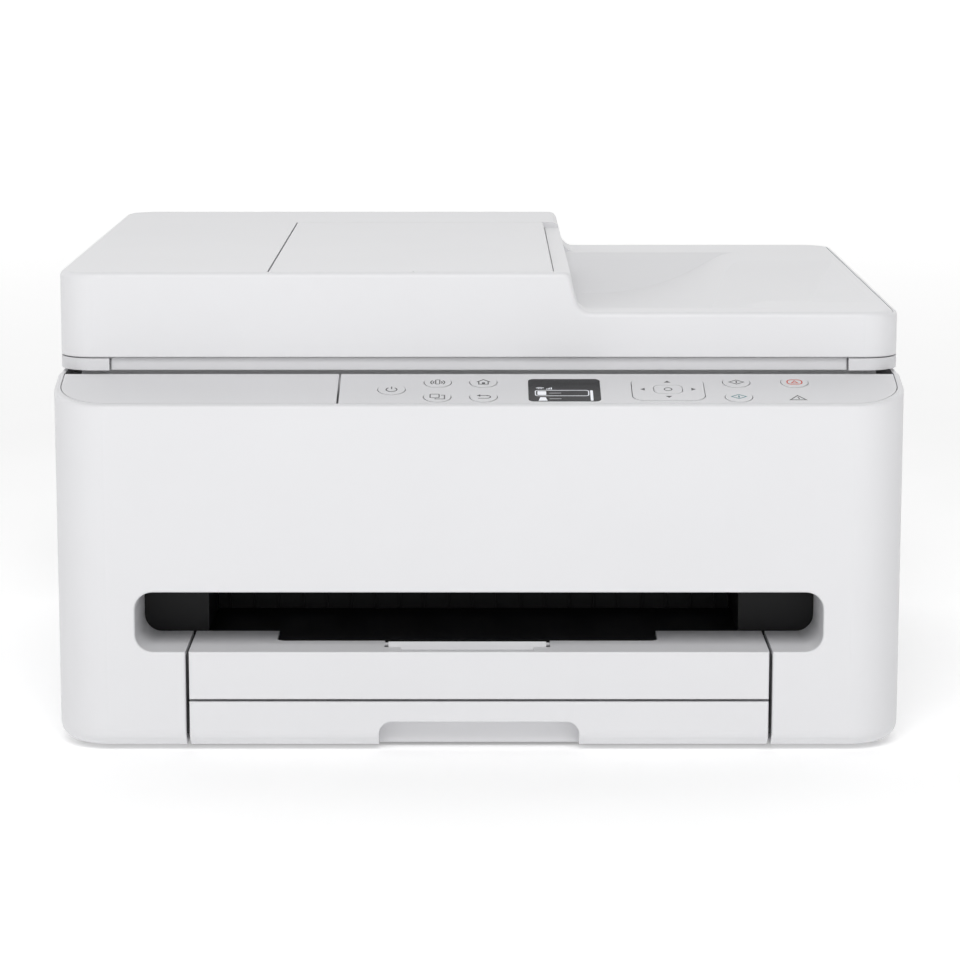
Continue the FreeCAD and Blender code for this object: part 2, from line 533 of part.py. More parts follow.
for x, z in SCREW_PLACES:
    screw_spaces.append(rod("screw_seat", "y", "screw_radius + run_gap", "back - screw_head - run_gap",
                            f"back + {OVERRUN}", x, z))
    screw_spaces.append(rod("screw_bore", "y", "screw_shank + fit_gap", f"rear_inner - {OVERRUN}", "back", x,
                            z))
sub_part("rear_case", cut("rear_case", fuse("rear_solid", common("rear_skin", skin, rear_zone), *cheeks),
                          access_space, access_bores, inlet_space, usb_space, *screw_spaces))
screws = []
for x, z in SCREW_PLACES:
    head = rod("screw_head_rod", "y", "screw_radius", "back - screw_head - run_gap", "back - run_gap", x, z)
    slot = box("screw_slot", f"{x} - screw_radius", f"{x} + screw_radius", "back - run_gap - screw_head/2",
               f"back + {OVERRUN}", f"{z} - screw_head/4", f"{z} + screw_head/4")
    shank = rod("screw_shank_rod", "y", "screw_shank", "back - screw_length", "back - screw_head", x, z)
    screws.append(cut("case_screw", fuse("screw_solid", head, shank), slot))
sub_part("case_screws", group("case_screws", screws))

# Rear access cover: a plate that swings down on two pins, with ribs that guide the paper round.
access_plate = box("access_plate", "-access_width/2 + seam_gap", "access_width/2 - seam_gap", "rear_inner",
                   "back",
                   "access_z + access_sill", "access_z + access_height - seam_gap")
access_pieces = [access_plate]
for sign in ("-", ""):
    access_pieces.append(rod("access_pin_rod", "x", "access_pin", f"{sign}(access_width/2 + 0.5) - 3",
                             f"{sign}(access_width/2 + 0.5) + 3", "access_axis_y", "access_axis_z"))
for rib in range(SIZES["access_ribs"]):
    x = f"(access_width - 6*seam_gap)*({rib + 0.5}/access_ribs - 0.5)"
    access_pieces.append(box("access_rib_plate", f"{x} - access_rib_wall/2", f"{x} + access_rib_wall/2",
                             "rear_inner - access_rib", "rear_inner + case_wall/2",
                             "access_z + access_height/6",
                             "access_z + access_height*11/12"))
access_grip = box("access_grip", "-access_width/10", "access_width/10", "back - case_wall/2",
                  f"back + {OVERRUN}",
                  "access_z + access_height*10/12", "access_z + access_height*11/12")
sub_part("rear_access_cover", cut("rear_access_cover", fuse("access_solid", *access_pieces), access_grip))

# Base: a stepped floor plate, the walls and runners of the drawer bay and the beam for the pickup arm.
pickup_left = "(pickup_x - pickup_width/2)"
pickup_right = "(pickup_x + pickup_width/2)"
base_pieces = [
    box("base_floor", "-hatch_x + seam_gap", "hatch_x - seam_gap", "hatch_front + seam_gap",
        "hatch_back - seam_gap",
        "base_z", "plate_z"),
    rounded_prism("base_step", "z",
                  rectangle("-hatch_x - floor_lip", "hatch_x + floor_lip", "hatch_front - floor_lip",
                                              "hatch_back + floor_lip"), "floor_z", "plate_z",
                  "floor_corner"),
]
base_pieces += boxes_both_sides("bay_side", "bay_x + run_gap", "bay_x + run_gap + bay_wall",
                                "hatch_front - floor_lip",
                                "bay_back", "floor_z", "tunnel_z - tunnel_wall - run_gap")
base_pieces += boxes_both_sides("bay_runner", "bay_x + run_gap - rail_width", "bay_x + run_gap + bay_wall/2",
                                "tunnel_back + 2*run_gap", "bay_back", "rail_top - rail_wall", "rail_top")
base_pieces.append(box("pickup_beam", "-bay_x - bay_wall", "bay_x + bay_wall", "beam_y",
                       "beam_y + beam_depth",
                       "pickup_pivot_z - pickup_barrel", "pickup_pivot_z - pickup_barrel + beam_height"))
for x in (f"{pickup_left} - run_gap - pickup_cheek", f"{pickup_right} + run_gap"):
    base_pieces.append(box("pickup_ear", x, f"{x} + pickup_cheek", "pickup_pivot_y - pickup_barrel",
                           "beam_y + beam_depth/2", "pickup_pivot_z - pickup_barrel",
                           "pickup_pivot_z + pickup_barrel"))
base_pieces.append(rod("pickup_pin_rod", "x", "pickup_pin", f"{pickup_left} - run_gap - pickup_cheek",
                       f"{pickup_right} + run_gap + pickup_cheek", "pickup_pivot_y", "pickup_pivot_z"))
sub_part("base_case", fuse("base_case", *base_pieces))

feet = [rod("foot", "z", "foot_radius", "0", "foot_height", f"{x}(body_width/2 - foot_inset)",
            f"{y}(body_depth/2 - foot_inset)")
        for x in ("-", "") for y in ("-", "")]
sub_part("rubber_feet", group("rubber_feet", feet))

# Operation panel: the slab between the case walls, split into the key panel and a plain side cover.
def panel_slab(name, u0, u1):
    """The part of the sloping slab between two places across the case."""
    plan = prism(f"{name}_plan", "z", rectangle("left + case_wall + seam_gap", "right - case_wall - seam_gap",
                                                "front + case_wall + seam_gap", "panel_back - seam_gap"),
                 "front_top - front_height/4", "deck_z + front_height/4")
    round_edges(plan, "corner_radius - case_wall - seam_gap", lambda e: runs_along(e, "z") and lies_at(
        e, "y", "front + case_wall + seam_gap"))
    slab = panel_box(f"{name}_slab", u0, u1, "-panel_wall", "panel_length + panel_wall", "-panel_wall", "0")
    return common(f"{name}_blank", plan, slab)


ROUND_KEYS = {
    "power_button": ("power_x", "row_middle"),
    "function_button_1": ("function_left_x", "row_back"),
    "function_button_2": ("function_left_x", "row_front"),
    "function_button_3": ("function_right_x", "row_back"),
    "function_button_4": ("function_right_x", "row_front"),
    "start_mono_button": ("start_x", "row_back"),
    "start_colour_button": ("start_x", "row_front"),
    "stop_button": ("stop_x", "row_back"),
}
pad_edges = ("pad_x - pad_width/2", "pad_x + pad_width/2", "row_middle - pad_length/2",
             "row_middle + pad_length/2")
ok_edges = ("pad_x - ok_width/2", "pad_x + ok_width/2", "row_middle - ok_length/2",
            "row_middle + ok_length/2")
display_edges = ("display_x - display_width/2", "display_x + display_width/2", "display_front",
                 "display_front + display_length")


def grown(edges, by):
    """The edges of a rectangle, moved out on all sides."""
    return (f"{edges[0]} - ({by})", f"{edges[1]} + {by}", f"{edges[2]} - ({by})", f"{edges[3]} + {by}")


panel_holes = [panel_rod(f"{key}_hole", "key_radius + key_gap", u, s, "-2*panel_wall", f"{OVERRUN}")
               for key, (u, s) in ROUND_KEYS.items()]
panel_holes.append(panel_plate("pad_hole", *grown(pad_edges, "key_gap"), "-2*panel_wall", f"{OVERRUN}",
                               "pad_radius + key_gap"))
panel_holes.append(panel_plate("display_hole", *grown(display_edges, "fit_gap"), "-2*panel_wall",
                               f"{OVERRUN}",
                               "display_radius + fit_gap"))
sub_part("operation_panel",
         cut("operation_panel", panel_slab("key_panel", "panel_split + panel_split_gap/2", "right"),
                                *panel_holes))
sub_part("panel_side_cover", panel_slab("side_panel", "left", "panel_split - panel_split_gap/2"))
sub_part("display_window",
         panel_plate("display_window", *display_edges, "-display_wall", "0", "display_radius"))

# Keys: each one stands a little proud, has a flange behind the panel and presses towards the board below.
KEY_FOOT = "-panel_board_drop + key_travel + run_gap"
FLANGE_TOP = "-panel_wall - run_gap"
for key, (u, s) in ROUND_KEYS.items():
    foot = on_panel(prism(f"{key}_foot", "z", rectangle("-key_radius/3", "key_radius/3", "-key_radius/3",
                                                        "key_radius/3"), KEY_FOOT, FLANGE_TOP), u, s, "0")
    stem = panel_rod(f"{key}_stem", "key_radius", u, s, f"{FLANGE_TOP} - key_flange", "key_proud")
    flange = panel_rod(f"{key}_flange", "key_radius + 1.2", u, s, f"{FLANGE_TOP} - key_flange", FLANGE_TOP)
    sub_part(key, fuse(key, foot, stem, flange))
ok_foot = on_panel(prism("ok_foot", "z",
                         rectangle("-key_radius/3", "key_radius/3", "-key_radius/3", "key_radius/3"),
                         KEY_FOOT, FLANGE_TOP), "pad_x", "row_middle", "0")
ok_cap = panel_plate("ok_cap", *ok_edges, f"{FLANGE_TOP} - key_flange", "key_proud", "ok_radius")
sub_part("ok_button", fuse("ok_button", ok_foot, ok_cap))
pad = panel_plate("pad_cap", *pad_edges, f"{FLANGE_TOP} - key_flange", "key_proud", "pad_radius")
pad_flange = panel_plate("pad_flange", *grown(pad_edges, "1.2"), f"{FLANGE_TOP} - key_flange", FLANGE_TOP,
                         "pad_radius + 1.2")
pad_bore = panel_plate("pad_bore", *grown(ok_edges, "key_gap"), "-panel_board_drop", f"{OVERRUN}",
                       "ok_radius + key_gap")
sub_part("nav_pad", cut("nav_pad", fuse("pad_solid", pad, pad_flange), pad_bore))
sub_part("panel_board", panel_box("panel_board", "panel_board_left", "panel_board_right",
                                  "case_wall + panel_board_margin", "panel_length - panel_board_margin",
                                  "-panel_board_drop - board_wall", "-panel_board_drop"))

# Paper output tray: the upper drawer front with its ledge, two arms on the runners and a thin plate.
tray_block = prism("tray_block", "z", rectangle("-face_x", "face_x", "front", "tunnel_back"), "out_z",
                   "tunnel_z")
round_edges(tray_block, "face_round", lambda e: lies_at(e, "y", "front"))
tray_space = box("tray_space", "-face_x + tray_wall", "face_x - tray_wall", "front + case_wall",
                 f"tunnel_back + {OVERRUN}",
                 f"out_z - {OVERRUN}", "ledge_z")
notch_space = prism("notch_space", "z", rectangle("support_x - notch_width/2", "support_x + notch_width/2",
                                                  "notch_front", "tunnel_back + 2*notch_radius"),
                    "ledge_z - tray_wall", f"tunnel_z + {OVERRUN}")
round_edges(notch_space, "notch_radius", lambda e: runs_along(e, "z"))
support_space = box("support_space", "support_left - support_gap", "support_right + support_gap",
                    "support_y - run_gap",
                    "notch_front + notch_radius", "ledge_z - tray_wall", f"tunnel_z + {OVERRUN}")
finger_space = box("finger_space", "support_x - finger_width/2", "support_x + finger_width/2",
                   "support_y - finger_length", "support_y", "ledge_z - tray_wall", f"tunnel_z + {OVERRUN}")
support_bore = rod("support_bore", "x", "support_pin + fit_gap", "support_left - 2*support_gap",
                   "support_right + 2*support_gap",
                   "support_axis_y", "support_axis_z")
tray_arms = boxes_both_sides("tray_arm", "face_x - arm_width", "face_x", "tunnel_back - arm_width",
                             "tunnel_back + arm_reach", "arm_z", "arm_z + arm_height")
tray_plate_box = box("tray_plate_box", "-face_x + arm_width/2", "face_x - arm_width/2", "front + case_wall/2",
                     "tunnel_back + tray_plate_reach", "arm_z", "arm_z + tray_plate")
tray_cap = cut("tray_cap", tray_block, tray_space, notch_space, support_space, finger_space, support_bore)
sub_part("output_tray", fuse("output_tray", tray_cap, tray_plate_box, *tray_arms))
support_section = [("support_y", "tunnel_z - support_wall"), ("support_back", "tunnel_z - support_wall"),
                   ("support_back", "tunnel_z"), ("support_back - support_ridge", "tunnel_z + support_rise"),
                   ("support_y", "tunnel_z - support_wall + support_toe")]
support_flap = prism("support_flap", "x", support_section, "support_left", "support_right")
round_edges(support_flap, "support_round",
            lambda e: runs_along(e, "x") and lies_at(e, "z", "tunnel_z + support_rise"))
support_rod = rod("support_rod", "x", "support_pin", "support_left - 1.5*support_gap",
                  "support_right + 1.5*support_gap",
                  "support_axis_y", "support_axis_z")
sub_part("output_support", fuse("output_support", support_flap, support_rod))

# Cassette: a deep front with a finger grip and an open paper tray behind it.
cassette_face = prism("cassette_face", "z", rectangle("-face_x", "face_x", "front", "cassette_front"),
                      "base_z",
                      "base_z + cassette_face_height")
round_edges(cassette_face, "bottom_radius", lambda e: lies_at(e, "y", "front") and lies_at(e, "z", "base_z"))
round_edges(cassette_face, "face_round", lambda e: lies_at(e, "y", "front") and (
    runs_along(e, "z") or lies_at(e, "z", "base_z + cassette_face_height")))
grip_space = rounded_prism("grip_space", "y",
                           rectangle("-grip_width/2", "grip_width/2", "base_z - 2*grip_radius",
                                                        "base_z + grip_height"),
                           f"front - {OVERRUN}", "front + grip_depth", "grip_radius")
cassette_tub = box("cassette_tub", "-cassette_x", "cassette_x", "cassette_front - cassette_wall",
                   "cassette_back",
                   "cassette_z", "cassette_z + cassette_height")
paper_space = box("paper_space", "-cassette_x + cassette_wall", "cassette_x - cassette_wall",
                  "cassette_front",
                  "cassette_back - cassette_wall", "cassette_inside",
                  f"cassette_z + cassette_height + {OVERRUN}")
rear_space = box("cassette_rear_space", "-cassette_x + cassette_wall", "cassette_x - cassette_wall",
                 "cassette_back - 2*cassette_wall", f"cassette_back + {OVERRUN}",
                 "cassette_inside + cassette_rear_height",
                 f"cassette_z + cassette_height + {OVERRUN}")
roller_space = box("cassette_roller_space", "pickup_x - roller_notch/2", "pickup_x + roller_notch/2",
                   "cassette_back - 2*cassette_wall", f"cassette_back + {OVERRUN}", "cassette_inside",
                   f"cassette_z + cassette_height + {OVERRUN}")
sub_part("cassette",
         cut("cassette", fuse("cassette_solid", cassette_face, cassette_tub), grip_space, paper_space,
                         rear_space, roller_space))
GUIDE_Z = "cassette_inside + run_gap"
for label, sign in (("left_paper_guide", -1), ("right_paper_guide", 1)):
    inner, outer = f"{sign}*guide_spread", f"{sign}*(guide_spread + guide_wall)"
    tip = f"{sign}*(guide_spread - guide_foot)"
    wall_edges = (inner, outer) if sign > 0 else (outer, inner)
    foot_edges = (tip, outer) if sign > 0 else (outer, tip)
    guide_plate = box(f"{label}_plate", *wall_edges, "guide_y - guide_length/2", "guide_y + guide_length/2",
                      GUIDE_Z,
                      f"{GUIDE_Z} + guide_height")
    guide_sole = box(f"{label}_sole", *foot_edges, "guide_y - guide_foot", "guide_y + guide_foot", GUIDE_Z,
                     f"{GUIDE_Z} + guide_foot_wall")
    sub_part(label, fuse(label, guide_plate, guide_sole))
length_plate = box("length_plate", "-length_guide_width/2", "length_guide_width/2",
                   "cassette_front + seam_gap",
                   "cassette_front + seam_gap + guide_wall", GUIDE_Z, f"{GUIDE_Z} + guide_height")
length_sole = box("length_sole", "-length_guide_width/4", "length_guide_width/4", "cassette_front + seam_gap",
                  "cassette_front + seam_gap + length_guide_foot", GUIDE_Z, f"{GUIDE_Z} + guide_foot_wall")
sub_part("paper_length_guide", fuse("paper_length_guide", length_plate, length_sole))

# Exit frame: the black surround inside the tunnel, with a floor whose tongue fills the tray's notch.
exit_plate = box("exit_plate", "-chassis_x - sheet_wall", "chassis_x + sheet_wall", "exit_front",
                 "exit_front + exit_panel",
                 "exit_bottom", "exit_roof + exit_wall + tunnel_wall")
exit_mouth = box("exit_mouth", "exit_left", "exit_right", f"exit_front - {OVERRUN}",
                 f"exit_front + exit_panel + {OVERRUN}",
                 "exit_top", "exit_roof")
exit_pieces = [
    cut("exit_surround", exit_plate, exit_mouth),
    box("exit_floor_plate", "-face_x + arm_width", "face_x - arm_width", "exit_front", "exit_back",
        "exit_bottom", "exit_top"),
    box("exit_tongue", "support_x - notch_width/2 + seam_gap", "support_x + notch_width/2 - seam_gap",
        "notch_front + notch_radius + run_gap",
        "exit_front + exit_panel", "exit_bottom", "exit_top"),
    box("exit_cheek_left", "exit_left - exit_wall", "exit_left", "exit_front", "exit_back", "exit_bottom",
        "exit_roof"),
    box("exit_cheek_right", "exit_right", "exit_right + exit_wall", "exit_front", "exit_back", "exit_bottom",
        "exit_roof"),
    box("exit_roof_plate", "exit_left - exit_wall", "exit_right + exit_wall", "exit_front", "exit_back",
        "exit_roof",
        "exit_roof + exit_wall"),
]
sub_part("exit_frame", fuse("exit_frame", *exit_pieces))

# Chassis: bent sheet metal with two side plates, a back plate, the carriage rail and a top flange.
chassis_pieces = boxes_both_sides("chassis_side", "chassis_x", "chassis_x + sheet_wall",
                                  "exit_front + exit_panel",
                                  "chassis_rear", "plate_z", "chassis_top")
chassis_pieces += [
    box("chassis_back_plate", "-chassis_x", "chassis_x", "chassis_back", "chassis_rear", "plate_bottom",
        "chassis_top"),
    box("chassis_rail", "-chassis_x", "chassis_x", "chassis_back - rail_reach", "chassis_back", "rail_z",
        "rail_z + sheet_wall"),
    box("chassis_flange", "-chassis_x", "chassis_x", "chassis_back - flange_reach", "chassis_rear",
        "chassis_top - sheet_wall",
        "chassis_top"),
    rod("idler_pulley_pin", "y", "pulley_pin", "belt_y - 0.5", "chassis_back", "-pulley_x", "belt_z"),
    rod("idler_gear_pin", "x", "gear_pin", "gear_x - gear_width", "-chassis_x", "idler_y", "idler_z"),
]
chassis_holes = [
    rod("feed_bore", "x", "feed_shaft + fit_gap", f"-chassis_x - {OVERRUN}", f"chassis_x + {OVERRUN}",
        "feed_y", "feed_z"),
    rod("eject_bore", "x", "eject_shaft + fit_gap", f"-chassis_x - {OVERRUN}", f"chassis_x + {OVERRUN}",
        "eject_y", "eject_z"),
    rod("pinion_hole", "x", "2*pinion_shaft", f"-chassis_x - {OVERRUN}", "-chassis_x + 1", "pinion_y",
        "pinion_z"),
    rod("motor_hole", "y", "shaft_hole", f"chassis_back - {OVERRUN}", f"chassis_rear + {OVERRUN}", "pulley_x",
        "belt_z"),
]
sub_part("chassis", cut("chassis", fuse("chassis_solid", *chassis_pieces), *chassis_holes))

# Motors: one behind the back plate for the belt, and one inside the left side plate for the rollers.
belt_motor = cut("belt_motor",
                 rod("belt_motor_can", "y", "motor_radius", "chassis_rear", "chassis_rear + motor_length",
                                   "pulley_x", "belt_z"),
                 rod("belt_motor_bore", "y", "pulley_pin + fit_gap", "chassis_rear - 1",
                     "chassis_rear + motor_length/4",
                     "pulley_x", "belt_z"))
feed_motor = cut("feed_motor",
                 rod("feed_motor_can", "x", "motor_radius", "-chassis_x", "-chassis_x + feed_motor_length",
                                   "pinion_y", "pinion_z"),
                 rod("feed_motor_bore", "x", "pinion_shaft + fit_gap", "-chassis_x - 1",
                     "-chassis_x + feed_motor_length/4",
                     "pinion_y", "pinion_z"))
sub_part("drive_motors", group("drive_motors", [belt_motor, feed_motor]))

# Belt drive: a flat loop round two pulleys.
def belt_loop(name, radius, y0, y1):
    """A solid with the outline of a belt round the two pulleys."""
    return fuse(name, box(f"{name}_middle", "-pulley_x", "pulley_x", y0, y1, f"belt_z - ({radius})",
                          f"belt_z + {radius}"),
                rod(f"{name}_left", "y", radius, y0, y1, "-pulley_x", "belt_z"),
                rod(f"{name}_right", "y", radius, y0, y1, "pulley_x", "belt_z"))


sub_part("carriage_belt", cut("carriage_belt",
                              belt_loop("belt_outside", "pulley_radius + nip_gap + belt_wall", "belt_y",
                                        "belt_y + belt_width"),
                              belt_loop("belt_inside", "pulley_radius + nip_gap", f"belt_y - {OVERRUN}",
                                        f"belt_y + belt_width + {OVERRUN}")))
motor_pulley_rim = rod("motor_pulley_rim", "y", "pulley_radius", "belt_y", "belt_y + belt_width", "pulley_x",
                       "belt_z")
motor_pulley_shaft = rod("motor_pulley_shaft", "y", "pulley_pin", "belt_y", "chassis_rear + motor_length/5",
                         "pulley_x", "belt_z")
sub_part("motor_pulley", fuse("motor_pulley", motor_pulley_rim, motor_pulley_shaft))
sub_part("idler_pulley", cut("idler_pulley",
                             rod("idler_pulley_rim", "y", "pulley_radius", "belt_y", "belt_y + belt_width",
                                 "-pulley_x", "belt_z"),
                             rod("idler_pulley_bore", "y", "pulley_pin + fit_gap", f"belt_y - {OVERRUN}",
                                 f"belt_y + belt_width + {OVERRUN}", "-pulley_x", "belt_z")))

# Carriage with its print head, the hook over the rail, the belt clip and two cartridges.
cartridge_bays = []
cartridges = []
BAY_WIDTH = "(carriage_width - 3*carriage_wall)/2"
for place in range(2):
    x0 = f"carriage_left + carriage_wall + {place}*({BAY_WIDTH} + carriage_wall)"
    cartridge_bays.append(box("cartridge_bay", x0, f"{x0} + {BAY_WIDTH}", "carriage_front + carriage_wall",
                              "cartridge_back",
                              "carriage_z + carriage_wall", f"carriage_top + {OVERRUN}"))
    cartridges.append(box("cartridge", f"{x0} + run_gap", f"{x0} + {BAY_WIDTH} - run_gap",
                          "carriage_front + carriage_wall + run_gap",
                          "cartridge_back - run_gap", "carriage_z + carriage_wall",
                          "carriage_top + cartridge_top"))
carriage_pieces = [
    box("carriage_tub", "carriage_left", "carriage_right", "carriage_front", "carriage_back", "carriage_z",
        "carriage_top"),
    box("print_head", "carriage_left + 4", "carriage_right - 4", "head_front", "head_back",
        "carriage_z - head_drop",
        "carriage_z + 0.5"),
    box("rail_hook", "carriage_left + 8", "carriage_right - 8", "carriage_back - 1",
        "chassis_back - sheet_wall", "carriage_z - 1",
        "carriage_z - 1 + hook_height + 1"),
    box("belt_clip", "carriage_x - 6", "carriage_x + 6", "carriage_back - 0.5", "belt_y - run_gap",
        "belt_z - 10", "belt_z - 2"),
]
rail_groove = box("rail_groove", f"carriage_left - {OVERRUN}", f"carriage_right + {OVERRUN}",
                  "chassis_back - rail_reach - run_gap",
                  "chassis_back", "rail_z - run_gap", "rail_z + sheet_wall + run_gap")
sub_part("carriage", cut("carriage", fuse("carriage_solid", *carriage_pieces), rail_groove, *cartridge_bays))
sub_part("ink_cartridges", group("ink_cartridges", cartridges))

# Rollers: the feed and eject rollers with gears on their left ends, and the wheels that press on them.
def roller(label, y, z, shaft, radius, spans):
    """A shaft across the chassis with rubber of a larger radius on the given spans, and a gear outside."""
    pieces = [rod(f"{label}_shaft", "x", shaft, "gear_x - gear_width", "chassis_x + sheet_wall + 1", y, z),
              gear_disc(f"{label}_gear", "gear_x - gear_width", "gear_x", y, z, "train_radius", 50)]
    pieces += [rod(f"{label}_rubber", "x", radius, x0, x1, y, z) for x0, x1 in spans]
    return sub_part(label, fuse(label, *pieces))


def spread(count, width):
    """Places of like rings spread evenly over the paper's width."""
    pitch = "(sleeve_right - sleeve_left)"
    starts = [f"sleeve_left + {pitch}*{n + 0.5}/{count} - {width}/2" for n in range(count)]
    return [(start, f"{start} + {width}") for start in starts]


def wheels(label, y, z, shaft, radius, spans):
    """Small wheels on one thin shaft."""
    pieces = [rod(f"{label}_shaft", "x", shaft, "sleeve_left", "sleeve_right", y, z)]
    pieces += [rod(f"{label}_wheel", "x", radius, x0, x1, y, z) for x0, x1 in spans]
    return sub_part(label, fuse(label, *pieces))


RINGS = SIZES["ring_count"]
roller("feed_roller", "feed_y", "feed_z", "feed_shaft", "feed_radius", [("sleeve_left", "sleeve_right")])
roller("eject_roller", "eject_y", "eject_z", "eject_shaft", "eject_radius", spread(RINGS, "ring_width"))
wheels("pinch_rollers", "feed_y", "pinch_z", "pinch_shaft", "pinch_radius", spread(RINGS, "pinch_width"))
wheels("star_wheels", "eject_y", "star_z", "star_shaft", "star_radius", spread(RINGS, "star_width"))
sub_part("idler_gear",
         gear_disc("idler_gear", "gear_x - gear_width", "gear_x", "idler_y", "idler_z", "idler_radius", 68,
                                 "gear_pin + fit_gap"))
pinion_teeth = gear_disc("pinion_teeth", "gear_x - gear_width", "gear_x", "pinion_y", "pinion_z",
                         "pinion_radius", 10)
pinion_rod = rod("pinion_rod", "x", "pinion_shaft", "gear_x - gear_width", "-chassis_x + motor_length/5",
                 "pinion_y", "pinion_z")
sub_part("motor_pinion", fuse("motor_pinion", pinion_teeth, pinion_rod))

# Platen with its ribs, and the maintenance station beside it where the carriage parks.
PLATEN_RIBS = 14
platen_pieces = [box("platen_slab", "-chassis_x", "station_x - seam_gap", "platen_front", "platen_back",
                     "paper_z - platen_rib - platen_wall",
                     "paper_z - platen_rib")]
for rib in range(PLATEN_RIBS):
    x = f"sleeve_left + (sleeve_right - sleeve_left)*{rib + 0.5}/{PLATEN_RIBS}"
    platen_pieces.append(box("platen_rib_bar", f"{x} - 0.7", f"{x} + 0.7", "platen_front", "platen_back",
                             "paper_z - platen_rib - 0.5", "paper_z"))
sub_part("platen", fuse("platen", *platen_pieces))
station_pieces = [box("station_tub", "station_x", "chassis_x", "station_front", "station_back",
                      "paper_z - station_height", "paper_z")]
CAP_WIDTH = "(chassis_x - station_x - 4*cap_margin)/2"
for place in range(2):
    x0 = f"station_x + cap_margin + {place}*({CAP_WIDTH} + 2*cap_margin)"
    station_pieces.append(box("station_cap", x0, f"{x0} + {CAP_WIDTH}", "station_front + 2*cap_margin",
                              "station_back - 2*cap_margin", "paper_z - 0.5", "paper_z + cap_height"))
sub_part("maintenance_station", fuse("maintenance_station", *station_pieces))

# Pickup arm and roller, which reach down into the cassette.
arm_profile = [("pickup_pivot_y + 1", "pickup_pivot_z - 4.5"), ("pickup_pivot_y + 1", "pickup_pivot_z + 4.5"),
               ("pickup_roller_y + 8", "pickup_roller_z + 8.5"),
               ("pickup_roller_y - 4", "pickup_roller_z + 8.5"),
               ("pickup_roller_y - 4", "pickup_roller_z - 3.5"),
               ("pickup_roller_y + 4", "pickup_roller_z - 3.5"),
               ("pickup_roller_y + 12", "pickup_roller_z + 2")]
arm_cheeks = [prism("arm_cheek", "x", arm_profile, x0, f"{x0} + pickup_cheek")
              for x0 in (pickup_left, f"{pickup_right} - pickup_cheek")]
arm_bridge = box("arm_bridge", pickup_left, pickup_right, "pickup_roller_y + pickup_radius + 3",
                 "pickup_pivot_y - 8",
                 "pickup_pivot_z - 3.5", "pickup_pivot_z - 1.5")
arm_barrel = rod("arm_barrel", "x", "pickup_barrel", pickup_left, pickup_right, "pickup_pivot_y",
                 "pickup_pivot_z")
arm_bores = [rod("arm_pivot_bore", "x", "pickup_pin + fit_gap", f"{pickup_left} - {OVERRUN}",
                 f"{pickup_right} + {OVERRUN}",
                 "pickup_pivot_y", "pickup_pivot_z"),
             rod("arm_roller_bore", "x", "pickup_pin + fit_gap", f"{pickup_left} - {OVERRUN}",
                 f"{pickup_right} + {OVERRUN}",
                 "pickup_roller_y", "pickup_roller_z")]
sub_part("pickup_arm", cut("pickup_arm", fuse("arm_solid", *arm_cheeks, arm_bridge, arm_barrel), *arm_bores))
pickup_tyre = rod("pickup_tyre", "x", "pickup_radius", f"{pickup_left} + pickup_cheek + run_gap",
                  f"{pickup_right} - pickup_cheek - run_gap", "pickup_roller_y", "pickup_roller_z")
pickup_rod = rod("pickup_rod", "x", "pickup_pin", pickup_left, pickup_right, "pickup_roller_y",
                 "pickup_roller_z")
sub_part("pickup_roller", fuse("pickup_roller", pickup_tyre, pickup_rod))

# Electronics: power supply and mains inlet on the left, main board and USB socket on the right.
sub_part("power_supply", box("power_supply", "supply_left", "supply_right", "supply_front",
                             "back - inlet_depth - run_gap", "plate_z", "plate_z + supply_height"))
inlet_block = box("inlet_block", "inlet_x - inlet_width/2", "inlet_x + inlet_width/2",
                  "back - inlet_depth - run_gap", "back - run_gap",
                  "base_z + inlet_z - inlet_height/2", "base_z + inlet_z + inlet_height/2")
inlet_spaces = [box("inlet_waist", "inlet_x - 3*inlet_pin", "inlet_x + 3*inlet_pin", "back - inlet_depth*2/3",
                    f"back + {OVERRUN}",
                    "base_z + inlet_z - 2.5*inlet_pin", "base_z + inlet_z + 2.5*inlet_pin")]
inlet_pins = []
for sign in ("-", "+"):
    x = f"inlet_x {sign} 3.6*inlet_pin"
    inlet_spaces.append(rod("inlet_well", "y", "3.1*inlet_pin", "back - inlet_depth*2/3", f"back + {OVERRUN}",
                            x, "base_z + inlet_z"))
    inlet_pins.append(rod("inlet_pin_rod", "y", "inlet_pin", "back - inlet_depth*2/3 - 1", "back - 4", x,
                          "base_z + inlet_z"))
sub_part("mains_inlet", fuse("mains_inlet", cut("inlet_shell", inlet_block, *inlet_spaces), *inlet_pins))
sub_part("main_board",
         box("main_board", "board_x", "board_x + board_wall", "board_front", "board_back", "plate_z",
                           "plate_z + board_rise + board_height"))
usb_left = "board_x + board_wall"
usb_middle = f"{usb_left} + usb_width/2"
usb_block = box("usb_block", usb_left, f"{usb_left} + usb_width", "back - usb_depth - run_gap",
                "back - run_gap",
                "base_z + usb_z - usb_height/2", "base_z + usb_z + usb_height/2")
usb_well = box("usb_well", f"{usb_middle} - usb_hole/2", f"{usb_middle} + usb_hole/2", "back - usb_depth*3/4",
               f"back + {OVERRUN}",
               "base_z + usb_z - usb_hole/2", "base_z + usb_z + usb_hole/2")
usb_tongue = box("usb_tongue", f"{usb_middle} - usb_hole/3", f"{usb_middle} + usb_hole/3",
                 "back - usb_depth*3/4 - 1", "back - 3",
                 "base_z + usb_z - usb_hole/5", "base_z + usb_z + usb_hole/5")
sub_part("usb_socket", fuse("usb_socket", cut("usb_shell", usb_block, usb_well), usb_tongue))

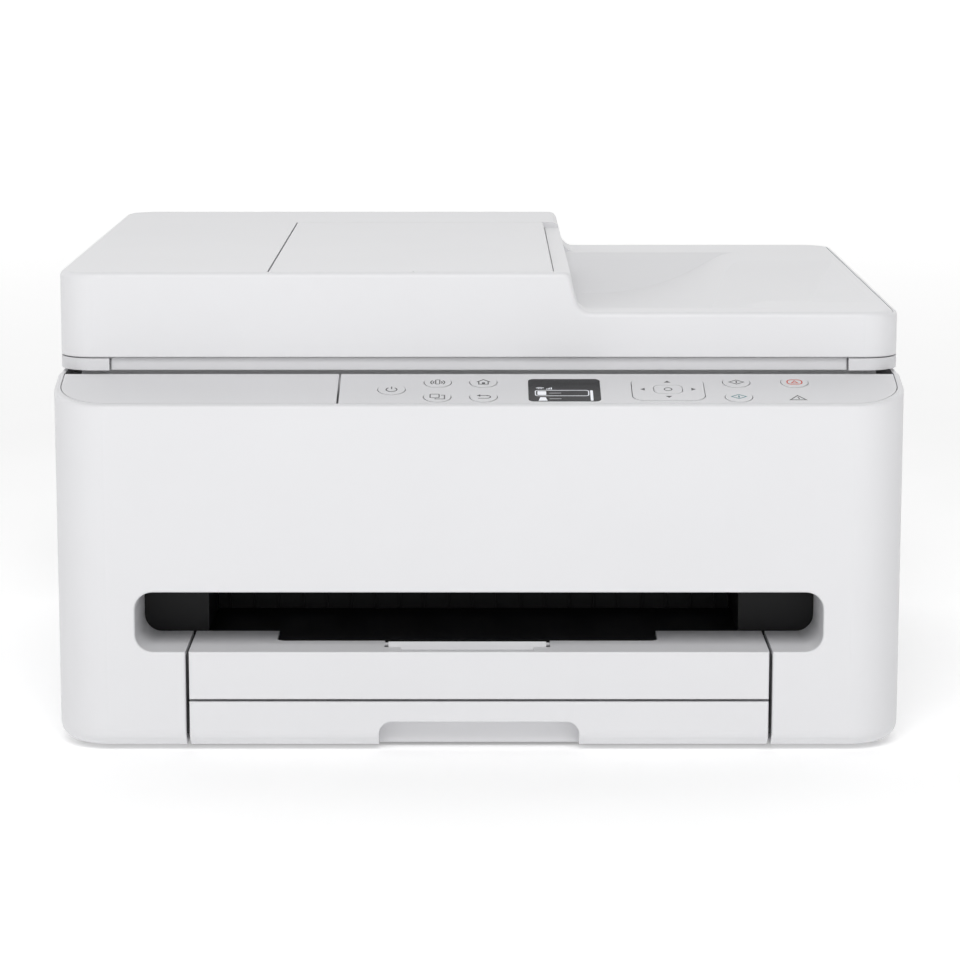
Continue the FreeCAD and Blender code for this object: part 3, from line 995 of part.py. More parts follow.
# Inner deck: the cover over the works, with the opening through which the cartridges are reached.
deck_slab = box("deck_slab", "left + case_wall + seam_gap", "right - case_wall - seam_gap", "deck_front",
                "case_seam - seam_gap",
                "inner_deck_z", "inner_deck_z + deck_wall")
deck_opening = rounded_prism("deck_opening", "z",
                             rectangle("deck_opening_left", "deck_opening_right", "deck_opening_front",
                                                            "deck_opening_back"),
                             f"inner_deck_z - {OVERRUN}", f"inner_deck_z + deck_wall + {OVERRUN}",
                             "deck_radius")
sub_part("inner_deck", cut("inner_deck", deck_slab, deck_opening))

# Scanner unit: a tub that hangs inside the case, and the frame that holds the glass and the lid's hinges.
tub = box("scanner_tub", "-tub_x", "tub_x", "tub_front", "tub_back", "tub_z", "scan_z")
tub_space = box("scanner_space", "-tub_x + tub_wall", "tub_x - tub_wall", "tub_front + tub_wall",
                "tub_back - tub_wall",
                "tub_z + tub_wall", f"scan_z + {OVERRUN}")
scan_rail = box("scan_rail", "-tub_x + tub_wall/2", "tub_x - tub_wall/2", "scan_rail_y - scan_rail_width/2",
                "scan_rail_y + scan_rail_width/2", "tub_z + tub_wall/2",
                "tub_z + tub_wall + scan_rail_height")
ears = []
ear_bores = []
for sign in ("-", ""):
    x0, x1 = f"{sign}hinge_x - hinge_width/2", f"{sign}hinge_x + hinge_width/2"
    ears.append(box("scanner_ear", x0, x1, "tub_back - tub_wall/2", "hinge_y", "hinge_z - hinge_barrel",
                    "hinge_z + hinge_barrel"))
    ears.append(rod("scanner_barrel", "x", "hinge_barrel", x0, x1, "hinge_y", "hinge_z"))
    ear_bores.append(rod("scanner_bore", "x", "hinge_pin + fit_gap", f"{x0} - {OVERRUN}", f"{x1} + {OVERRUN}",
                         "hinge_y", "hinge_z"))
sub_part("scanner_case", cut("scanner_case", fuse("scanner_solid", cut("scanner_shell", tub, tub_space),
                                                  scan_rail, *ears), *ear_bores))

frame_slab = prism("frame_slab", "z", rectangle("left", "right", "panel_back", "frame_rear"), "scan_z",
                   "scan_top")
round_edges(frame_slab, "lid_corner", lambda e: runs_along(e, "z") and lies_at(e, "y", "panel_back"))
clevises = []
clevis_bores = []
for sign in ("-", ""):
    x0, x1 = f"{sign}lid_hinge_x - lid_hinge_width/2", f"{sign}lid_hinge_x + lid_hinge_width/2"
    neck = [("clevis_front", "scan_top - frame_height/4"), ("frame_rear", "scan_top - frame_height/4"),
            ("lid_hinge_y", "lid_hinge_z - lid_barrel"), ("lid_hinge_y", "lid_hinge_z + lid_barrel"),
            ("frame_rear", "lid_hinge_z + lid_barrel"), ("clevis_front", "lid_hinge_z - 1")]
    clevises.append(prism("lid_clevis", "x", neck, x0, x1))
    clevises.append(rod("lid_clevis_barrel", "x", "lid_barrel", x0, x1, "lid_hinge_y", "lid_hinge_z"))
    clevis_bores.append(rod("lid_clevis_bore", "x", "lid_pin + fit_gap", f"{x0} - {OVERRUN}",
                            f"{x1} + {OVERRUN}",
                            "lid_hinge_y", "lid_hinge_z"))
glass_seat = box("glass_seat_space", "-glass_width/2 - run_gap", "glass_width/2 + run_gap",
                 "glass_front - run_gap",
                 "glass_back + run_gap", "scan_top - glass_wall", f"scan_top + {OVERRUN}")
glass_view = box("glass_view", "-glass_width/2 + glass_seat", "glass_width/2 - glass_seat",
                 "glass_front + glass_seat",
                 "glass_back - glass_seat", f"scan_z - {OVERRUN}", f"scan_top + {OVERRUN}")
strip_spaces = [box("strip_space", "-strip_half", "strip_half", f"panel_back - {OVERRUN}",
                    "panel_back + strip_step",
                    f"scan_z - {OVERRUN}", f"scan_top + {OVERRUN}")]
strip_spaces += boxes_both_sides("strip_groove_space", "strip_half", "strip_half + strip_groove",
                                 f"panel_back - {OVERRUN}",
                                 "panel_back + 2*strip_step", f"scan_z - {OVERRUN}", f"scan_top + {OVERRUN}")
sub_part("scanner_frame", cut("scanner_frame", fuse("frame_solid", frame_slab, *clevises), glass_seat,
                              glass_view, *strip_spaces,
                              *clevis_bores))
sub_part("scanner_glass", box("scanner_glass", "-glass_width/2", "glass_width/2", "glass_front", "glass_back",
                              "scan_top - glass_wall", "scan_top"))
bar_slab = box("bar_slab", "scan_bar_x", "scan_bar_x + scan_bar_width", "glass_front + scan_bar_margin",
               "glass_back - scan_bar_margin",
               "tub_z + tub_wall + scan_rail_height + run_gap",
               "tub_z + tub_wall + scan_rail_height + run_gap + scan_bar_height")
sub_part("scan_bar", bar_slab)

# Document cover: the shell with the feeder block on the left and the dish for finished sheets on the right.
profile = [("left", "cover_z"), ("right", "cover_z"), ("right", "rim_z"), ("step_bottom", "rim_z"),
           ("step_top", "cover_top"),
           ("left", "cover_top")]
shell_body = prism("shell_body", "y", profile, "panel_back", "back")
round_edges(shell_body, "lid_corner", lambda e: runs_along(e, "z"))
round_edges(shell_body, "step_valley", lambda e: runs_along(e, "y") and lies_at(e, "x", "step_bottom"))
round_edges(shell_body, "step_round", lambda e: runs_along(e, "y") and lies_at(e, "x", "step_top"))


def on_upper_outline(edge):
    """Whether an edge runs round the top of the document cover, on its outer walls."""
    low = min(v.Point.z for v in edge.Vertexes)
    on_wall = any(lies_at(edge, axis, text) for axis, text in
                  (("y", "panel_back"), ("y", "back"), ("x", "left"), ("x", "right")))
    corner = edge.Curve.TypeId == "Part::GeomCircle" and (lies_at(edge, "z",
                                                                  "cover_top") or lies_at(edge, "z", "rim_z"))
    return low > value("cover_z") + TOUCH and (on_wall or corner) and not runs_along(edge, "z")


round_edges(shell_body, "cover_round", on_upper_outline)
round_edges(shell_body, "cover_foot_round", lambda e: lies_at(e, "z", "cover_z"))
recess = ["left + cover_wall", "right - cover_wall", "panel_back + cover_wall", "back - cover_wall"]
plate_space = rounded_prism("plate_space", "z", rectangle(*recess), f"cover_z - {OVERRUN}", "cover_inside",
                            "rear_radius - cover_wall")
inside_corner = "lid_corner - cover_wall"
lower_space = rounded_prism("lower_space", "z",
                            rectangle("left + cover_wall", "step_top - cover_wall", "panel_back + cover_wall",
                                                          "lower_back"), "cover_z", "feed_deck_z",
                            inside_corner)
rear_spaces = [box("rear_hollow_middle", "-lid_hinge_x + pocket_width/2 + 4*rear_hollow",
                   "step_top - cover_wall",
                   "lower_back + rear_hollow", "back - cover_wall", "cover_z", "cover_top - cover_wall"),
               box("rear_hollow_left", "left + rear_radius", "-lid_hinge_x - pocket_width/2 - 2*rear_hollow",
                   "lower_back + rear_hollow", "back - cover_wall", "cover_z", "cover_top - cover_wall")]
chamber = box("feed_chamber", "chamber_left", "flap_left - flap_gap/2", "flap_front - run_gap",
              "flap_back + run_gap",
              "chamber_z", "cover_top - cover_wall")
flap_opening = box("flap_opening", "flap_left - flap_gap/2", "flap_right + run_gap", "flap_front - run_gap",
                   "flap_back + run_gap",
                   "chamber_z", f"cover_top + {OVERRUN}")
valley = box("flap_valley", "flap_right", "step_bottom", "flap_front - run_gap", "flap_back + run_gap",
             "cover_top - valley_drop", f"cover_top + {OVERRUN}")
lip_space = box("lip_space", "flap_left - flap_gap/2", "lip_right + flap_gap",
                "flap_front - lip_length - run_gap", "flap_front",
                "cover_top - flap_wall", f"cover_top + {OVERRUN}")
flap_bores = rod("flap_bores", "y", "flap_pin + fit_gap", "flap_front - 2.6", "flap_back + 2.6",
                 "flap_axis_x", "flap_axis_z")
dish_floor = [("step_bottom", "dish_z"), ("dish_rise_start", "dish_z"), ("dish_rise_end", "rim_z"),
              ("dish_rise_end + dish_flare", "rim_z"), ("dish_rise_end + dish_flare", "cover_top"),
              ("step_top", "cover_top"),
              ("step_bottom", "rim_z")]
dish_length = prism("dish_length", "y", dish_floor, "dish_front - 2*dish_round", "dish_back + 2*dish_round")
for bend, place in (("dish_bend", "dish_rise_start"), ("dish_top_bend", "dish_rise_end")):
    round_edges(dish_length, bend, lambda e: runs_along(e, "y") and lies_at(e, "x", place))
dish_section = [("dish_front_floor", "dish_z"), ("dish_back_floor", "dish_z"), ("dish_back", "rim_z"),
                ("dish_back + 2*dish_round", "rim_z"), ("dish_back + 2*dish_round", "cover_top"),
                ("dish_front - 2*dish_round", "cover_top"), ("dish_front - 2*dish_round", "rim_z"),
                ("dish_front", "rim_z")]
dish_across = prism("dish_across", "x", dish_section, "step_top - 1", "dish_rise_end + dish_flare")
round_edges(dish_across, "dish_side_bend", lambda e: runs_along(e, "x") and lies_at(e, "z", "dish_z"))
round_edges(dish_across, "dish_round",
            lambda e: runs_along(e, "x") and (lies_at(e, "y", "dish_front") or lies_at(e, "y", "dish_back")))
dish = common("dish", dish_length, dish_across)
scoop_floor = [("dish_rise_end - scoop_lap", "scoop_z"), ("scoop_foot", "scoop_z"), ("scoop_edge", "rim_z"),
               ("scoop_edge + 2*dish_round", "rim_z"), ("scoop_edge + 2*dish_round", "cover_top"),
               ("dish_rise_end - scoop_lap", "cover_top")]
scoop_length = prism("scoop_length", "y", scoop_floor, "scoop_front - 4*dish_round",
                     "scoop_back + dish_round")
round_edges(scoop_length, "dish_round", lambda e: runs_along(e, "y") and lies_at(e, "x", "scoop_edge"))
scoop_section = [("scoop_front", "scoop_z"), ("scoop_back", "rim_z"), ("scoop_back", "cover_top"),
                 ("scoop_front - 3*dish_round", "cover_top"), ("scoop_front - 3*dish_round", "rim_z"),
                 ("scoop_front - dish_round", "rim_z")]
scoop_across = prism("scoop_across", "x", scoop_section, "dish_rise_end - scoop_lap",
                     "scoop_edge + 2*dish_round")
round_edges(scoop_across, "dish_round",
            lambda e: runs_along(e, "x") and lies_at(e, "y", "scoop_front - dish_round"))
scoop = common("scoop", scoop_length, scoop_across)
edge_groove = box("edge_groove", "right - groove_inset - groove_width", "right - groove_inset",
                  "panel_back + groove_front",
                  "back - groove_back", "rim_z - groove_depth", f"rim_z + {OVERRUN}")
slot_space = box("slot_space", "step_top - cover_wall - 1", "step_bottom + step_valley", "slot_front",
                 "slot_back", "cover_z + slot_bottom",
                 "cover_z + slot_top")
UNDER_DISH_TOP = "scoop_z - cover_wall"
under_dish_ramp = prism("under_dish_ramp", "y", [
    ("dish_rise_start + dish_hollow", "cover_z"), ("right - cover_wall", "cover_z"),
    ("right - cover_wall", UNDER_DISH_TOP),
    ("dish_rise_end", UNDER_DISH_TOP), ("dish_rise_start + dish_hollow", "cover_inside + 1")],
                        "panel_back + cover_wall", "lower_back")
under_dish_block = rounded_prism("under_dish_block", "z",
                                 rectangle("step_bottom", "right - cover_wall", "panel_back + cover_wall",
                                                                    "lower_back"), "cover_z", "rim_z",
                                 inside_corner)
under_dish = common("under_dish", under_dish_ramp, under_dish_block)
pockets = []
lid_pins = []
for sign in ("-", ""):
    x0, x1 = f"{sign}lid_hinge_x - pocket_width/2", f"{sign}lid_hinge_x + pocket_width/2"
    pockets.append(box("lid_pocket", x0, x1, "pocket_front", f"back + {OVERRUN}", f"cover_z - {OVERRUN}",
                       "cover_z + pocket_rise"))
    lid_pins.append(rod("lid_pin_rod", "x", "lid_pin", f"{x0} - 1", f"{x1} + 1", "lid_hinge_y",
                        "lid_hinge_z"))
feeder_bores = [rod("feeder_bore", "y", "feeder_shaft + fit_gap", "flap_front - 2", "flap_back + 2",
                    "feeder_x", "feeder_z"),
                rod("ejector_bore", "y", "feeder_shaft + fit_gap", "panel_back + 1.2", "lower_back + 2",
                    "ejector_x", "cover_z + ejector_z"),
                box("feeder_slot", "feeder_x - feeder_radius - 2", "feeder_x + feeder_radius + 2",
                    "feeder_front - 2", "feeder_back + 2",
                    "feed_deck_z - 1", "chamber_z + 1")]
shell = cut("cover_hollow", shell_body, plate_space, lower_space, *rear_spaces, chamber, flap_opening, valley,
            lip_space, flap_bores,
            dish, scoop, edge_groove, slot_space, under_dish, *pockets, *feeder_bores)
sub_part("cover_shell", fuse("cover_shell", shell, *lid_pins))
underside = rounded_prism("underside", "z", rectangle(*(f"{text} {sign} seam_gap" for text,
                                                        sign in zip(recess, "+-+-"))), "cover_z",
                          "cover_z + cover_plate", "rear_radius - cover_wall")
sub_part("cover_underside", cut("cover_underside", underside, *(
    box("underside_pocket", f"{sign}lid_hinge_x - pocket_width/2", f"{sign}lid_hinge_x + pocket_width/2",
        "pocket_front", f"back + {OVERRUN}",
        f"cover_z - {OVERRUN}", "cover_inside + 1") for sign in ("-", ""))))

# Document tray flap, with the grip lip along its front edge, hinged on two pins at its right edge.
flap_slab = prism("flap_slab", "z", rectangle("flap_left + flap_gap/2", "flap_right - run_gap",
                                              "flap_front + run_gap", "flap_back - run_gap"),
                  "flap_z", "cover_top")
round_edges(flap_slab, "flap_wall/2 - 0.05",
            lambda e: runs_along(e, "y") and lies_at(e, "x", "flap_right - run_gap"))
flap_lip = box("flap_lip", "flap_left + flap_gap/2", "lip_right", "flap_front - lip_length",
               "flap_front + flap_gap", "cover_top - lip_wall",
               "cover_top")
flap_pins = [rod("flap_pin_front", "y", "flap_pin", "flap_front - 2", "flap_front + 1", "flap_axis_x",
                 "flap_axis_z"),
             rod("flap_pin_back", "y", "flap_pin", "flap_back - 1", "flap_back + 2", "flap_axis_x",
                 "flap_axis_z")]
sub_part("document_tray", fuse("document_tray", flap_slab, flap_lip, *flap_pins))
for label, sign in (("front_document_guide", "-"), ("rear_document_guide", "+")):
    inner = f"document_middle {sign} document_width/2"
    edges = [f"{inner} - document_guide_wall", inner, f"{inner} + document_guide_foot"]
    if sign == "+":
        edges = [f"{inner} + document_guide_wall", inner, f"{inner} - document_guide_foot"]
    wall_y = sorted(edges[:2], key=value)
    foot_y = sorted([edges[0], edges[2]], key=value)
    guide_x = ("document_guide_left", "document_guide_left + document_guide_length")
    fence = box(f"{label}_fence", *guide_x, *wall_y, "chamber_z + run_gap",
                "chamber_z + run_gap + document_guide_height")
    sole = box(f"{label}_sole", *guide_x, *foot_y, "chamber_z + run_gap",
               "chamber_z + run_gap + guide_foot_wall")
    sub_part(label, fuse(label, fence, sole))
feeder_tyre = rod("feeder_tyre", "y", "feeder_radius", "feeder_front", "feeder_back", "feeder_x", "feeder_z")
feeder_rod = rod("feeder_rod", "y", "feeder_shaft", "flap_front - 1.6", "flap_back + 1.6", "feeder_x",
                 "feeder_z")
sub_part("feeder_roller", fuse("feeder_roller", feeder_tyre, feeder_rod))
ejector_tyres = [rod("ejector_tyre", "y", "ejector_radius", f"slot_front + (slot_back - slot_front)*{n}/7",
                     f"slot_front + (slot_back - slot_front)*{n + 1}/7",
                     "ejector_x", "cover_z + ejector_z") for n in (1, 3, 5)]
ejector_rod = rod("ejector_rod", "y", "feeder_shaft", "panel_back + 1.6", "lower_back + 1.6", "ejector_x",
                  "cover_z + ejector_z")
sub_part("feeder_eject_roller", fuse("feeder_eject_roller", ejector_rod, *ejector_tyres))

# Build everything, test it and write one file for each sub-part.
doc.recompute()
failed = [thing.Name for thing in doc.Objects if "Invalid" in thing.State or "Error" in thing.State]
if failed:
    raise RuntimeError(f"these objects failed to build: {failed}")
for label, thing in SUB_PARTS.items():
    if thing.Shape.isNull() or not thing.Shape.isValid() or not thing.Shape.Solids:
        raise RuntimeError(f"{label} has no valid solid")
os.makedirs("parts", exist_ok=True)
for label, thing in SUB_PARTS.items():
    thing.Shape.exportStep(f"parts/{label}.step")
print(len(SUB_PARTS), "sub-parts written")
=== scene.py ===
"""Finish, printed symbols and studio of a white inkjet printer with a scanner and a document feeder."""
import math

import bmesh
import bpy
from mathutils import Matrix, Vector


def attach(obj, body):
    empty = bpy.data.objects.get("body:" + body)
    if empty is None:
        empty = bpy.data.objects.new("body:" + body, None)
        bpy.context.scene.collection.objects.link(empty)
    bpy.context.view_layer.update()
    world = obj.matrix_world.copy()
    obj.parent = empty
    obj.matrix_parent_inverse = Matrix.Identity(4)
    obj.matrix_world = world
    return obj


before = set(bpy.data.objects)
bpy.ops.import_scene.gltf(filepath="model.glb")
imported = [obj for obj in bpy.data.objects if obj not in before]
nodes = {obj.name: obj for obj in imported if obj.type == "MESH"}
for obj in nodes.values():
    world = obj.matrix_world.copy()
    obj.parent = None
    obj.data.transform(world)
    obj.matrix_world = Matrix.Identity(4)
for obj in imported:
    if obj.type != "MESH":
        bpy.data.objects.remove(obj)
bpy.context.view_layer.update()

# Base and feet: the grey floor moulding that carries the mechanism, with four rubber discs pressed into it.
# A blank foil plate is stuck to its underside.
def moulded(name, colour, roughness, grain_mm=0.35, grain_depth_mm=0.02, gloss=0.4):
    """Plastic or rubber with the grain of its mould: fine noise lifts the surface and varies its sheen."""
    material = bpy.data.materials.new(name)
    material.use_nodes = True
    tree = material.node_tree
    shader = tree.nodes["Principled BSDF"]
    place = tree.nodes.new("ShaderNodeTexCoord")
    grain = tree.nodes.new("ShaderNodeTexNoise")
    grain.inputs["Scale"].default_value = 1000 / grain_mm
    grain.inputs["Detail"].default_value = 3
    cloud = tree.nodes.new("ShaderNodeTexNoise")
    cloud.inputs["Scale"].default_value = 14
    tint = tree.nodes.new("ShaderNodeMapRange")
    tint.inputs["To Min"].default_value = 0.985
    tint.inputs["To Max"].default_value = 1.015
    shade = tree.nodes.new("ShaderNodeVectorMath")
    shade.operation = "SCALE"
    shade.inputs[0].default_value = colour
    sheen = tree.nodes.new("ShaderNodeMapRange")
    sheen.inputs["To Min"].default_value = roughness - 0.05
    sheen.inputs["To Max"].default_value = roughness + 0.05
    bump = tree.nodes.new("ShaderNodeBump")
    bump.inputs["Strength"].default_value = 0.35
    bump.inputs["Distance"].default_value = grain_depth_mm / 1000
    links = tree.links
    links.new(place.outputs["Object"], grain.inputs["Vector"])
    links.new(place.outputs["Object"], cloud.inputs["Vector"])
    links.new(cloud.outputs["Fac"], tint.inputs["Value"])
    links.new(tint.outputs["Result"], shade.inputs["Scale"])
    links.new(shade.outputs["Vector"], shader.inputs["Base Color"])
    links.new(grain.outputs["Fac"], sheen.inputs["Value"])
    links.new(sheen.outputs["Result"], shader.inputs["Roughness"])
    links.new(grain.outputs["Fac"], bump.inputs["Height"])
    links.new(bump.outputs["Normal"], shader.inputs["Normal"])
    shader.inputs["Specular IOR Level"].default_value = gloss
    return material


def plated(name, colour, roughness):
    """Rolled and plated metal, with fine stretched streaks in its sheen."""
    material = bpy.data.materials.new(name)
    material.use_nodes = True
    tree = material.node_tree
    shader = tree.nodes["Principled BSDF"]
    place = tree.nodes.new("ShaderNodeTexCoord")
    stretch = tree.nodes.new("ShaderNodeMapping")
    stretch.inputs["Scale"].default_value = (30, 900, 900)
    streaks = tree.nodes.new("ShaderNodeTexNoise")
    streaks.inputs["Scale"].default_value = 1
    sheen = tree.nodes.new("ShaderNodeMapRange")
    sheen.inputs["To Min"].default_value = roughness - 0.08
    sheen.inputs["To Max"].default_value = roughness + 0.1
    tree.links.new(place.outputs["Object"], stretch.inputs["Vector"])
    tree.links.new(stretch.outputs["Vector"], streaks.inputs["Vector"])
    tree.links.new(streaks.outputs["Fac"], sheen.inputs["Value"])
    tree.links.new(sheen.outputs["Result"], shader.inputs["Roughness"])
    shader.inputs["Base Color"].default_value = (*colour, 1)
    shader.inputs["Metallic"].default_value = 1
    return material


def dress(material, *names):
    """Give CAD nodes their finish."""
    for name in names:
        slots = nodes[name].data.materials
        slots.clear()
        slots.append(material)


def reach(name):
    """The low and the high corner of a CAD node, in millimetres."""
    corners = [nodes[name].matrix_world @ Vector(corner) * 1000 for corner in nodes[name].bound_box]
    return [Vector(pick(corner[axis] for corner in corners) for axis in range(3)) for pick in (min, max)]


def arc(x, y, radius, start, end, steps=24):
    """Points along an arc, from one angle to another in degrees."""
    angles = [math.radians(start + (end - start) * n / steps) for n in range(steps + 1)]
    return [(x + radius * math.cos(a), y + radius * math.sin(a)) for a in angles]


def rounded(x0, x1, y0, y1, radius, steps=6):
    """The outline of a rectangle with rounded corners."""
    corners = ((x1 - radius, y1 - radius, 0), (x0 + radius, y1 - radius, 90),
               (x0 + radius, y0 + radius, 180), (x1 - radius, y0 + radius, 270))
    return [point for x, y, turn in corners for point in arc(x, y, radius, turn, turn + 90, steps)]


def patch(form, points):
    """A flat face on the XY plane."""
    form.faces.new([form.verts.new((x, y, 0)) for x, y in points])


def stroke(form, points, width, closed=False):
    """A flat line of even width on the XY plane, with mitred corners."""
    points = [Vector(point) for point in points]
    edges = []
    for n, point in enumerate(points):
        before = (point - points[n - 1] if closed or n else points[1] - point).normalized()
        ahead = closed or n < len(points) - 1
        after = (points[(n + 1) % len(points)] - point).normalized() if ahead else before
        across = Vector((-before.y - after.y, before.x + after.x)).normalized()
        across *= width / 2 / max(0.4, across.dot(Vector((-before.y, before.x))))
        edges.append([form.verts.new((*(point + across * side), 0)) for side in (1, -1)])
    for n in range(len(points) if closed else len(points) - 1):
        (a, b), (c, d) = edges[n], edges[(n + 1) % len(points)]
        form.faces.new((a, b, d, c))


def thicken(form, thickness, edge=0):
    """Turn the flat faces of a form into plates that rise from the XY plane, with eased upper edges."""
    raised = bmesh.ops.extrude_face_region(form, geom=form.faces[:])["geom"]
    lifted = [part for part in raised if isinstance(part, bmesh.types.BMVert)]
    bmesh.ops.translate(form, vec=(0, 0, thickness), verts=lifted)
    bmesh.ops.recalc_face_normals(form, faces=form.faces)
    if edge:
        upper = [e for e in form.edges if all(v.co.z > thickness * 0.9 for v in e.verts)]
        rims = [e for e in upper if e.calc_face_angle(0) > 0.5]
        bmesh.ops.bevel(form, geom=rims, offset=edge, offset_type="OFFSET", segments=3, profile=0.5,
                        affect="EDGES", material=-1)


def keep(name, form, place, material, body):
    """Finish a piece made in millimetres: place it, turn its faces outward and tie it to a body."""
    bmesh.ops.transform(form, matrix=Matrix.Scale(0.001, 4) @ place, verts=form.verts)
    bmesh.ops.recalc_face_normals(form, faces=form.faces)
    mesh = bpy.data.meshes.new(name)
    form.to_mesh(mesh)
    form.free()
    mesh.materials.append(material)
    piece = bpy.data.objects.new(name, mesh)
    bpy.context.scene.collection.objects.link(piece)
    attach(piece, body)


grey_moulding = moulded("grey_moulding", (0.30, 0.30, 0.31), 0.5, 0.5, 0.03)
foot_rubber = moulded("foot_rubber", (0.03, 0.03, 0.03), 0.8, 0.8, 0.05, 0.2)
plate_foil = plated("plate_foil", (0.72, 0.73, 0.74), 0.38)
dress(grey_moulding, "base_case")
dress(foot_rubber, "rubber_feet")
PLATE_HALF_WIDTH, PLATE_HALF_LENGTH, PLATE_CORNER = 38, 19, 3
PLATE_THICKNESS, PLATE_EDGE, PLATE_BACK = 0.12, 0.05, 70
plate_place = Matrix.Translation((0, PLATE_BACK, reach("base_case")[0].z)) @ Matrix.Rotation(math.pi, 4, "X")
rating_plate = bmesh.new()
patch(rating_plate, rounded(-PLATE_HALF_WIDTH, PLATE_HALF_WIDTH, -PLATE_HALF_LENGTH, PLATE_HALF_LENGTH,
                            PLATE_CORNER))
thicken(rating_plate, PLATE_THICKNESS, PLATE_EDGE)
keep("rating_plate", rating_plate, plate_place, plate_foil, "base")

# Outer and rear case: white wrap-round walls, injection moulded in ABS with a fine spark-eroded grain.
# They meet in a seam near the back, where four screws hold them; a flap in the back clears jams.
WHITE = (0.73, 0.73, 0.745)
white_shell = moulded("white_shell", WHITE, 0.42)
dress(white_shell, "outer_case", "rear_case", "rear_access_cover")

# Chassis, screws and motors: zinc-plated sheet steel, folded and screwed into the base.
# The four case screws have cross recesses, each drawn as a flat black cross on the head: painted shade for
# the dark inside the recess.
zinc_steel = plated("zinc_steel", (0.62, 0.63, 0.65), 0.32)
# The near-black colour of the screw crosses is painted shade, not the colour of the metal in the recesses.
recess_painted_shade = moulded("recess_painted_shade", (0.02, 0.02, 0.02), 0.6, 0.5, 0.005)
dress(zinc_steel, "chassis", "case_screws", "drive_motors")
SCREW_HEAD, CROSS_REACH, CROSS_WIDTH, CROSS_THICKNESS = 3.5, 2.1, 0.8, 0.05
SEAT = 0.02  # how deep a print or film sits in what carries it
BACKWARD = Matrix.Rotation(-math.pi / 2, 4, "X")
low, high = reach("case_screws")
for n, (x, z) in enumerate((x, z) for x in (low.x + SCREW_HEAD, high.x - SCREW_HEAD)
                           for z in (low.z + SCREW_HEAD, high.z - SCREW_HEAD)):
    cross = bmesh.new()
    half = CROSS_WIDTH / 2
    corner = [(half, half), (half, CROSS_REACH), (-half, CROSS_REACH)]
    quarters = [Matrix.Rotation(turn * math.pi / 2, 2) for turn in range(4)]
    patch(cross, [tuple(quarter @ Vector(point)) for quarter in quarters for point in corner])
    thicken(cross, CROSS_THICKNESS)
    keep(f"screw_cross_{n + 1}", cross, Matrix.Translation((x, high.y - SEAT, z)) @ BACKWARD,
         recess_painted_shade, "base")

# Boards, power supply and sockets: green printed boards, a sealed black supply and black moulded sockets.
# The chips are soldered to the main board; the inlet's pins and the data socket's liner are plated.
solder_mask = moulded("solder_mask", (0.02, 0.13, 0.05), 0.3, 1.5, 0.02)
black_moulding = moulded("black_moulding", (0.03, 0.03, 0.032), 0.45, 0.5, 0.02)
dress(solder_mask, "main_board", "panel_board")
dress(black_moulding, "power_supply", "mains_inlet", "usb_socket")
PIN_RADIUS, PIN_SPREAD, PIN_REACH, PIN_EDGE, PIN_INSET = 1.26, 4.32, 9, 0.5, 3.7
low, high = reach("mains_inlet")
inlet_sleeves = bmesh.new()
for side in (-PIN_SPREAD, PIN_SPREAD):
    patch(inlet_sleeves, arc(side, 0, PIN_RADIUS, 0, 345, 23))
thicken(inlet_sleeves, PIN_REACH, PIN_EDGE)
inlet_place = Matrix.Translation(((low.x + high.x) / 2, high.y - PIN_INSET - PIN_REACH,
                                  (low.z + high.z) / 2))
keep("inlet_sleeves", inlet_sleeves, inlet_place @ BACKWARD, zinc_steel, "base")
LINER_HALF, LINER_WALL, LINER_DEPTH, LINER_INSET = 4.28, 0.35, 11, 0.3
LINER_CORNER_OUT, LINER_CORNER_IN = 0.9, 0.6
low, high = reach("usb_socket")
socket_liner = bmesh.new()
for half, radius in ((LINER_HALF, LINER_CORNER_OUT), (LINER_HALF - LINER_WALL, LINER_CORNER_IN)):
    ring = [socket_liner.verts.new((x, y, 0)) for x, y in rounded(-half, half, -half, half, radius, 4)]
    for n, corner in enumerate(ring):
        socket_liner.edges.new((ring[n - 1], corner))
bmesh.ops.bridge_loops(socket_liner, edges=socket_liner.edges[:])
thicken(socket_liner, LINER_DEPTH)
liner_place = Matrix.Translation(((low.x + high.x) / 2, high.y - LINER_INSET - LINER_DEPTH,
                                  (low.z + high.z) / 2))
keep("socket_liner", socket_liner, liner_place @ BACKWARD, zinc_steel, "base")
low, high = reach("main_board")
board_chips = bmesh.new()
CHIPS = ((29, 13, 18, 18), (59, 21, 14, 10), (59, 7, 14, 10), (88, 15, 9, 9), (106, 27, 7, 5))
CHIP_CORNER, CHIP_HEIGHT, CHIP_EDGE = 0.6, 1.6, 0.3
for y, z, length, height in CHIPS:
    patch(board_chips, rounded(y, y + length, z, z + height, CHIP_CORNER, 3))
thicken(board_chips, CHIP_HEIGHT, CHIP_EDGE)
chip_place = Matrix(((0, 0, -1, low.x), (1, 0, 0, low.y), (0, 1, 0, low.z), (0, 0, 0, 1)))
keep("board_chips", board_chips, chip_place, black_moulding, "base")

# Paper rollers and gears: steel shafts with ground rubber sleeves and moulded acetal gears pressed on.
# Acetal pinch rollers and star wheels press the sheet on them.
STEEL, RUBBER, ACETAL = (0.55, 0.56, 0.58, 1), (0.03, 0.03, 0.032, 1), (0.68, 0.67, 0.63, 1)
SLEEVE_RISE, GEAR_RIGHT = 0.4, -178.5
COLOUR_A, COLOUR_B, COLOUR_OUT = 6, 7, 2  # the colour sockets of a mix node


